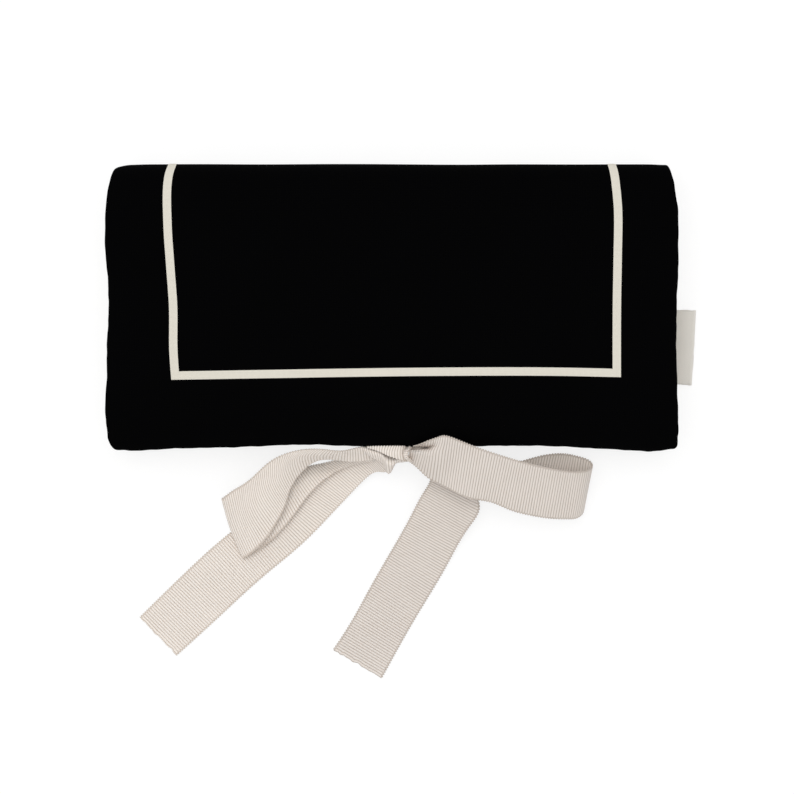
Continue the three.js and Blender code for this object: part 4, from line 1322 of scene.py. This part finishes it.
def raised_sheet(name, node, body, slot_name, material, thickness, sewn, seed, hang=False):
    """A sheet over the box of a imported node, sewn at both ends and along its low or its high side."""
    low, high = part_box(node)
    rise = high.z - low.z - thickness - POCKET_CLEARANCE

    def place(u, v):
        x = low.x + (high.x - low.x) * u
        y = low.y + (high.y - low.y) * v
        from_end = np.minimum(x - low.x, high.x - x)
        from_seam = {"low": y - low.y, "high": high.y - y, "ends only": POCKET_SLOPE}[sewn]
        up = soft_step(from_end / POCKET_SLOPE) * soft_step(from_seam / POCKET_SLOPE)
        flat = np.stack([x, y], axis=1)
        relief = POCKET_WAVE * noise_at(flat, POCKET_WAVES_PER_METRE, seed) * up
        lift = thickness / 2 + rise * up + relief
        z = high.z - lift if hang else low.z + lift
        return stacked(x, y, z), flat

    cloth = cloth_grid(name, across=90, along=24, place=place, material=material)
    apply_modifier(cloth, "SOLIDIFY", thickness=thickness, offset=0)
    stands_for(cloth, body, slot_name, node)
    return cloth


print("pocket fronts are cut", [round(size / MM, 1) for size in flat_size("pocket_front_front")], "mm")

# %% Zip pockets and slip pockets
back_cloths = []
for index, place_name in enumerate(("front", "fold")):
    front_node = f"pocket_front_{place_name}"
    pocket = raised_sheet(f"zip_pocket_cloth_{place_name}", front_node, "back", "lining", cream_lining,
                          COTTON_THICKNESS, "low", 3 + index)
    facing = raised_sheet(f"zip_pocket_facing_{place_name}", f"pocket_facing_{place_name}", "back",
                          "lining", cream_lining, COTTON_THICKNESS, "high", 5 + index)
    back_cloths += [pocket, facing]
    for side in ("lower", "upper"):
        back_cloths.append(raised_sheet(
            f"zip_webbing_{side}_{place_name}", f"zip_tape_{side}_{place_name}", "back",
            "zip_cloth", zip_webbing, WEBBING_THICKNESS, "ends only", 9 + index))

flap_cloths = []
for number in (1, 2, 3):
    slip_node = f"slip_pocket_{number}"
    pocket = raised_sheet(f"slip_pocket_cloth_{number}", slip_node, "flap", "lining", cream_lining,
                          COTTON_THICKNESS, "high", 11 + number, hang=True)
    flap_cloths.append(pocket)
print(len(back_cloths), "cloths on the back lining and", len(flap_cloths), "on the flap lining")

# %% [markdown]
# Metal zip teeth are small clamped blocks with a round nose. A ridged strip would look like a zip only from
# far away. One tooth is modelled from a cube, and an array sets the rest of the row along the tape.

# %% Zip teeth
TOOTH_PITCH = 2 * MM
TOOTH_WIDTH = 1.25 * MM
TOOTH_START = 0.8 * MM
TOOTH_BEVEL = 0.25 * MM
NOSE_WIDTH = 0.7
NOSE_HEIGHT = 0.8


def teeth_row(name, node, side):
    """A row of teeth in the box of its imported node. The upper row faces the gaps of the lower one."""
    low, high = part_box(node)
    bpy.ops.mesh.primitive_cube_add(size=1)
    tooth = bpy.context.object
    tooth.name = name
    size = Vector((TOOTH_WIDTH, high.y - low.y, high.z - low.z))
    start = low.x + TOOTH_START + (TOOTH_PITCH / 2 if side == "lower" else 0)
    nose = 1 if side == "lower" else -1
    for vertex in tooth.data.vertices:
        at_nose = vertex.co.y * nose > 0
        vertex.co = Vector((
            start + size.x * (vertex.co.x * (NOSE_WIDTH if at_nose else 1) + 0.5),
            (low.y + high.y) / 2 + size.y * vertex.co.y,
            (low.z + high.z) / 2 + size.z * vertex.co.z * (NOSE_HEIGHT if at_nose else 1),
        ))
    apply_modifier(tooth, "BEVEL", width=TOOTH_BEVEL, segments=2)
    count = int((high.x - start - size.x) / TOOTH_PITCH) + 1
    apply_modifier(tooth, "ARRAY", count=count, use_relative_offset=False, use_constant_offset=True,
                   constant_offset_displace=(TOOTH_PITCH, 0, 0))
    tooth.data.materials.append(nickel)
    crisp_rims(tooth)
    stands_for(tooth, "back", "nickel", node)
    print(name, count, "teeth")
    return tooth


for place_name in ("front", "fold"):
    for side in ("lower", "upper"):
        teeth_row(f"zip_tooth_row_{side}_{place_name}", f"zip_teeth_{side}_{place_name}", side)

# %% [markdown]
# The ring bar is a roll of lining cotton over a firm core. Its ends are gathered, so they are drawn in to
# small pleats. A cylinder with a bevel would have smooth ends, so a grid is rolled up by formula, with the
# pleats in its radius, and its seam and ends are closed.

# %% Ring bar
ROLL_CLEARANCE = 0.2 * MM
ROLL_WAVE = 0.15 * MM
ROLL_WAVES_PER_METRE = 60
ROLL_END = 3 * MM
ROLL_TIP = 0.05
PLEATS = 14
PLEAT_DEPTH = 0.25 * MM
PLEAT_REACH = 9 * MM
roll_low, roll_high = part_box("ring_bar_roll")
roll_radius = (roll_high.z - roll_low.z) / 2


def roll_place(u, v):
    """u runs round the roll, and v along it."""
    turn = u * 2 * math.pi
    x = roll_low.x + (roll_high.x - roll_low.x) * v
    from_end = np.minimum(x - roll_low.x, roll_high.x - x)
    share = np.clip(1 - from_end / ROLL_END, 0, 1)
    round_end = np.sqrt(np.clip(1 - share ** 2, 0, 1))
    pleat = PLEAT_DEPTH * np.cos(turn * PLEATS) * np.clip(1 - from_end / PLEAT_REACH, 0, 1)
    flat = np.stack([x, turn * roll_radius], axis=1)
    wave = ROLL_WAVE * noise_at(flat, ROLL_WAVES_PER_METRE, seed=2.2)
    radius = (roll_radius - ROLL_CLEARANCE + wave + pleat) * np.maximum(round_end, ROLL_TIP)
    y = (roll_low.y + roll_high.y) / 2 + radius * np.cos(turn)
    z = (roll_low.z + roll_high.z) / 2 + radius * np.sin(turn)
    return stacked(x, y, z), flat


roll = cloth_grid("ring_bar_padded_roll", across=84, along=150, place=roll_place, material=cream_lining)
weld(roll, fill=True)
stands_for(roll, "ring_bar", "lining", "ring_bar_roll")
print("ring bar:", round(2 * roll_radius / MM, 1), "mm thick")

# %% [markdown]
# The short cotton tabs at the two ends of the bar are folded strips. A thin block would do for their
# outline, but each is a slightly wavy sheet with a thickness and softened edges, as pressed cotton is. The
# snap tab is tucked a little way into the roll.

# %% Tabs of the ring bar
TAB_TUCK = 6 * MM
TAB_WAVE = 0.1 * MM
TAB_WAVES_PER_METRE = 120
TAB_FILL = 0.8
TAB_BEVEL = 0.2 * MM


def cloth_tab(name, node, body, tuck=0.0):
    """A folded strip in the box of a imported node, reaching to the left by its tuck."""
    low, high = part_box(node)
    left = low.x - tuck

    def place(u, v):
        x = left + (high.x - left) * u
        y = low.y + (high.y - low.y) * v
        flat = np.stack([x, y], axis=1)
        z = (low.z + high.z) / 2 + TAB_WAVE * noise_at(flat, TAB_WAVES_PER_METRE, seed=1.5)
        return stacked(x, y, z), flat

    tab = cloth_grid(name, across=24, along=16, place=place, material=cream_lining)
    apply_modifier(tab, "SOLIDIFY", thickness=(high.z - low.z) * TAB_FILL, offset=0)
    apply_modifier(tab, "BEVEL", width=TAB_BEVEL, segments=2, limit_method="ANGLE", angle_limit=1.0)
    stands_for(tab, body, "lining", node)
    return tab


anchor = cloth_tab("ring_bar_sewn_end", "ring_bar_anchor", "flap")
snap_tab = cloth_tab("ring_bar_tab_cloth", "ring_bar_snap_tab", "ring_bar", tuck=TAB_TUCK)

# %% [markdown]
# Rows of stitches hold the pockets to the linings and close the seams. They could be painted as dashes, but
# real thread stands up and casts small shadows. One stitch is a short rounded piece of thread. An array
# repeats it along a straight row, and each of its points is then laid on the cloth under it, so that a row
# follows every step and soft slope that it crosses.

# %% Thread
FIBRE_SIZE = 0.25 * MM


def cotton_thread():
    """Twisted cotton thread, whose fibres show as a fine change of shade."""
    material, tree, shader = new_material("cotton_thread")
    place = add(tree, "TexCoord", {}).outputs["Object"]
    fibres = add(tree, "TexNoise", {"Vector": place, "Scale": 1 / FIBRE_SIZE})
    colour = add(tree, "ValToRGB", {"Fac": fibres}, stops={0.0: "a09379", 1.0: "cdc2ab"})
    set_inputs(tree, shader, {
        "Base Color": colour,
        "Roughness": 0.7,
        "Sheen Weight": 0.2,
    })
    return material


# Thread is waxed and twisted tight, so it is a little darker and smoother than the cloth it holds.
cream_thread = cotton_thread()
print(cream_thread.name, "fibres:", FIBRE_SIZE / MM, "mm")

# %% Rows of stitches
STITCH_PITCH = 3 * MM
STITCH_LENGTH = 2.3 * MM
STITCH_WIDTH = 0.42 * MM
STITCH_LIFT = 0.2
ABOVE_ALL = 100 * MM


def fixed_order(mesh):
    """Lists a mesh's faces in one fixed order, because Blender lists those of a sphere anew in each run."""
    points = [vertex.co.copy() for vertex in mesh.vertices]
    faces = sorted(tuple(face.vertices) for face in mesh.polygons)
    mesh.clear_geometry()
    mesh.from_pydata(points, [], faces)


def sewn_rows(name, rows, cloths, up, body):
    """Rows of stitches on the upper (up = 1) or lower (up = -1) side of some cloths."""
    surfaces = [surface_of(cloth) for cloth in cloths]
    parts = []
    for start_x, start_y, end_x, end_y in rows:
        start = Vector((start_x, start_y, 0))
        way = Vector((end_x, end_y, 0)) - start
        step = way.normalized() * STITCH_PITCH
        forward = step.normalized()
        side = Vector((-step.y, step.x, 0)).normalized()
        bpy.ops.mesh.primitive_uv_sphere_add(segments=8, ring_count=6, radius=1)
        stitch = bpy.context.object
        fixed_order(stitch.data)
        for vertex in stitch.data.vertices:
            thick = vertex.co.y * STITCH_WIDTH / 2
            wide = vertex.co.x * STITCH_WIDTH / 2
            along = vertex.co.z * STITCH_LENGTH / 2
            vertex.co = start + step / 2 + forward * along + side * wide + Vector((0, 0, thick))
        apply_modifier(stitch, "ARRAY", count=int(way.length / STITCH_PITCH), use_relative_offset=False,
                       use_constant_offset=True, constant_offset_displace=step)
        parts.append(stitch)
    seam = joined(name, *parts)
    for vertex in seam.data.vertices:
        origin = Vector((vertex.co.x, vertex.co.y, ABOVE_ALL * up))
        hits = [surface.ray_cast(origin, Vector((0, 0, -up)))[0] for surface in surfaces]
        top = max((hit.z for hit in hits if hit), key=lambda height: height * up)
        vertex.co.z += top + up * STITCH_WIDTH * STITCH_LIFT
    seam.data.materials.clear()
    seam.data.materials.append(cream_thread)
    bpy.ops.object.shade_smooth()
    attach(seam, body)
    print(name, len(rows), "rows")
    return seam


def box_rows(node, margin, sides="lrbt"):
    """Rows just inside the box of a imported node: left, right, bottom and top."""
    low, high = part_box(node)
    left, right, bottom, top = low.x + margin, high.x - margin, low.y + margin, high.y - margin
    found = {
        "l": (left, bottom, left, top),
        "r": (right, bottom, right, top),
        "b": (left, bottom, right, bottom),
        "t": (left, top, right, top),
    }
    return [found[side] for side in sides]


print("one stitch of", STITCH_LENGTH / MM, "mm in each", STITCH_PITCH / MM, "mm of a seam")

# %% Stitching of the panels, the pockets and the ring bar
SEAM_MARGIN = 1.6 * MM
SLIP_POCKET_MARGIN = 5 * MM
SNAP_TAB_MARGIN = 1.2 * MM
FROM_SIDE = 5.5 * MM
FROM_FREE_EDGE = 6 * MM
FROM_FOLD = 12 * MM
edge_x = half_width - FROM_SIDE
edge_low = front_y + FROM_FREE_EDGE
edge_high = fold_y - FROM_FOLD
panel_rows = [
    (-edge_x, edge_low, edge_x, edge_low),
    (-edge_x, edge_low, -edge_x, edge_high),
    (edge_x, edge_low, edge_x, edge_high),
]
back_rows = list(panel_rows)
for place_name in ("front", "fold"):
    back_rows += box_rows(f"pocket_front_{place_name}", SEAM_MARGIN)
    back_rows += box_rows(f"pocket_facing_{place_name}", SEAM_MARGIN)
flap_rows = list(panel_rows)
for number in (1, 2, 3):
    flap_rows += box_rows(f"slip_pocket_{number}", SEAM_MARGIN, "lrt")
    flap_rows += box_rows(f"slip_pocket_{number}", SLIP_POCKET_MARGIN, "b")
anchor_rows = box_rows("ring_bar_anchor", SEAM_MARGIN)
tab_rows = box_rows("ring_bar_snap_tab", SNAP_TAB_MARGIN)
sewn_rows("stitching_back", back_rows, [lining_back] + back_cloths, 1, "back")
sewn_rows("stitching_flap", flap_rows, [lining_flap] + flap_cloths, -1, "flap")
sewn_rows("stitching_ring_bar_end", anchor_rows, [anchor, lining_flap], -1, "flap")
sewn_rows("stitching_snap_tab", tab_rows, [snap_tab], -1, "ring_bar")

# %% [markdown]
# The zip sliders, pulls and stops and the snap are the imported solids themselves: small hard parts whose
# shape is already right. A small bevel breaks their sharp edges, because pressed and cast metal never has
# them, and an edge that catches the light is what makes metal look like metal.

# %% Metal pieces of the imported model
METAL_BEVEL = 0.15 * MM
METAL_BEVEL_ANGLE = math.radians(40)
zip_metal = ["zip_slider_front", "zip_slider_fold", "zip_pull_front", "zip_pull_fold",
             "zip_stop_front_left", "zip_stop_front_right", "zip_stop_fold_left", "zip_stop_fold_right"]
snap_metal = ["snap_stud", "snap_socket", "snap_cap"]
for node_name in zip_metal + snap_metal:
    node_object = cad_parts[node_name]
    node_object.data.materials.clear()
    node_object.data.materials.append(nickel if node_name in zip_metal else brass)
    soften = node_object.modifiers.new("bevel", "BEVEL")
    soften.width = METAL_BEVEL
    soften.segments = 2
    soften.limit_method = "ANGLE"
    soften.angle_limit = METAL_BEVEL_ANGLE
print("packed metal pieces:", len(zip_metal), "of nickel plate and", len(snap_metal), "of brass")

# %% [markdown]
# The case lies on a plain white table under soft light. More light would make the table white, but the case
# too pale. So the camera sees the table and the world as white, and so do reflections, while the light
# itself stays plain: the world gives an even part of it, and one large lamp gives the rest from above, a
# little to the upper left.

# %% Table
TABLE_SIZE = 6
TABLE_CLEARANCE = 0.25 * MM
TABLE_GRAIN = 25 * MM
TABLE_GLOW = 1.1
TABLE_GLOW_SHARE = 0.72


def looked_at(tree):
    """1 for rays of the camera, of reflections and through clear things, and 0 for the light itself."""
    path = add(tree, "LightPath", {})
    seen = add(tree, "Math", {0: path.outputs["Is Camera Ray"], 1: path.outputs["Is Glossy Ray"]},
               operation="MAXIMUM")
    return add(tree, "Math", {0: seen, 1: path.outputs["Is Transmission Ray"]}, operation="MAXIMUM")


bpy.ops.mesh.primitive_plane_add(size=TABLE_SIZE, location=(0, 0, -TABLE_CLEARANCE))
table = bpy.context.object
table.name = "white_table"
# Painted board is matt and nearly even, so the eye rests on the case and only its shadow marks the table.
table_white, tree, shader = new_material("white_table_top")
place = add(tree, "TexCoord", {}).outputs["Object"]
grain = add(tree, "TexNoise", {"Vector": place, "Scale": 1 / TABLE_GRAIN, "Detail": 3.0})
tone = add(tree, "ValToRGB", {"Fac": grain}, stops={0.0: "f0f0f0", 1.0: "f6f6f6"})
set_inputs(tree, shader, {
    "Base Color": tone,
    "Roughness": 0.9,
    "Specular IOR Level": 0.1,
})
glow = add(tree, "Emission", {"Color": (1, 1, 1, 1), "Strength": TABLE_GLOW})
both = add(tree, "MixShader", {0: TABLE_GLOW_SHARE, 1: shader, 2: glow})
choice = add(tree, "MixShader", {0: looked_at(tree), 1: shader, 2: both})
set_inputs(tree, tree.nodes["Material Output"], {"Surface": choice})
table.data.materials.append(table_white)
print("table:", TABLE_SIZE, "m across")

# %% World
WORLD_LIGHT = 0.66

world = bpy.data.worlds.new("studio")
bpy.context.scene.world = world
world.use_nodes = True
tree = world.node_tree
even = tree.nodes["Background"]
set_inputs(tree, even, {"Color": (1, 1, 1, 1), "Strength": WORLD_LIGHT})
white = add(tree, "Background", {"Color": (1, 1, 1, 1), "Strength": 1.0})
choice = add(tree, "MixShader", {0: looked_at(tree), 1: even, 2: white})
set_inputs(tree, tree.nodes["World Output"], {"Surface": choice})
print("world light:", WORLD_LIGHT)

# %% Lamp
LAMP_PLACE = Vector((-0.1, 0.18, 1.15))
LAMP_SIZE = 0.9
LAMP_POWER = 5.6

bpy.ops.object.light_add(type="AREA", location=LAMP_PLACE)
lamp = bpy.context.object
lamp.name = "soft_lamp"
lamp.data.size = LAMP_SIZE
lamp.data.energy = LAMP_POWER
lamp.rotation_euler = (-LAMP_PLACE).to_track_quat("-Z", "Y").to_euler()
bpy.context.scene.view_settings.view_transform = "Standard"
print("lamp:", LAMP_POWER, "W")
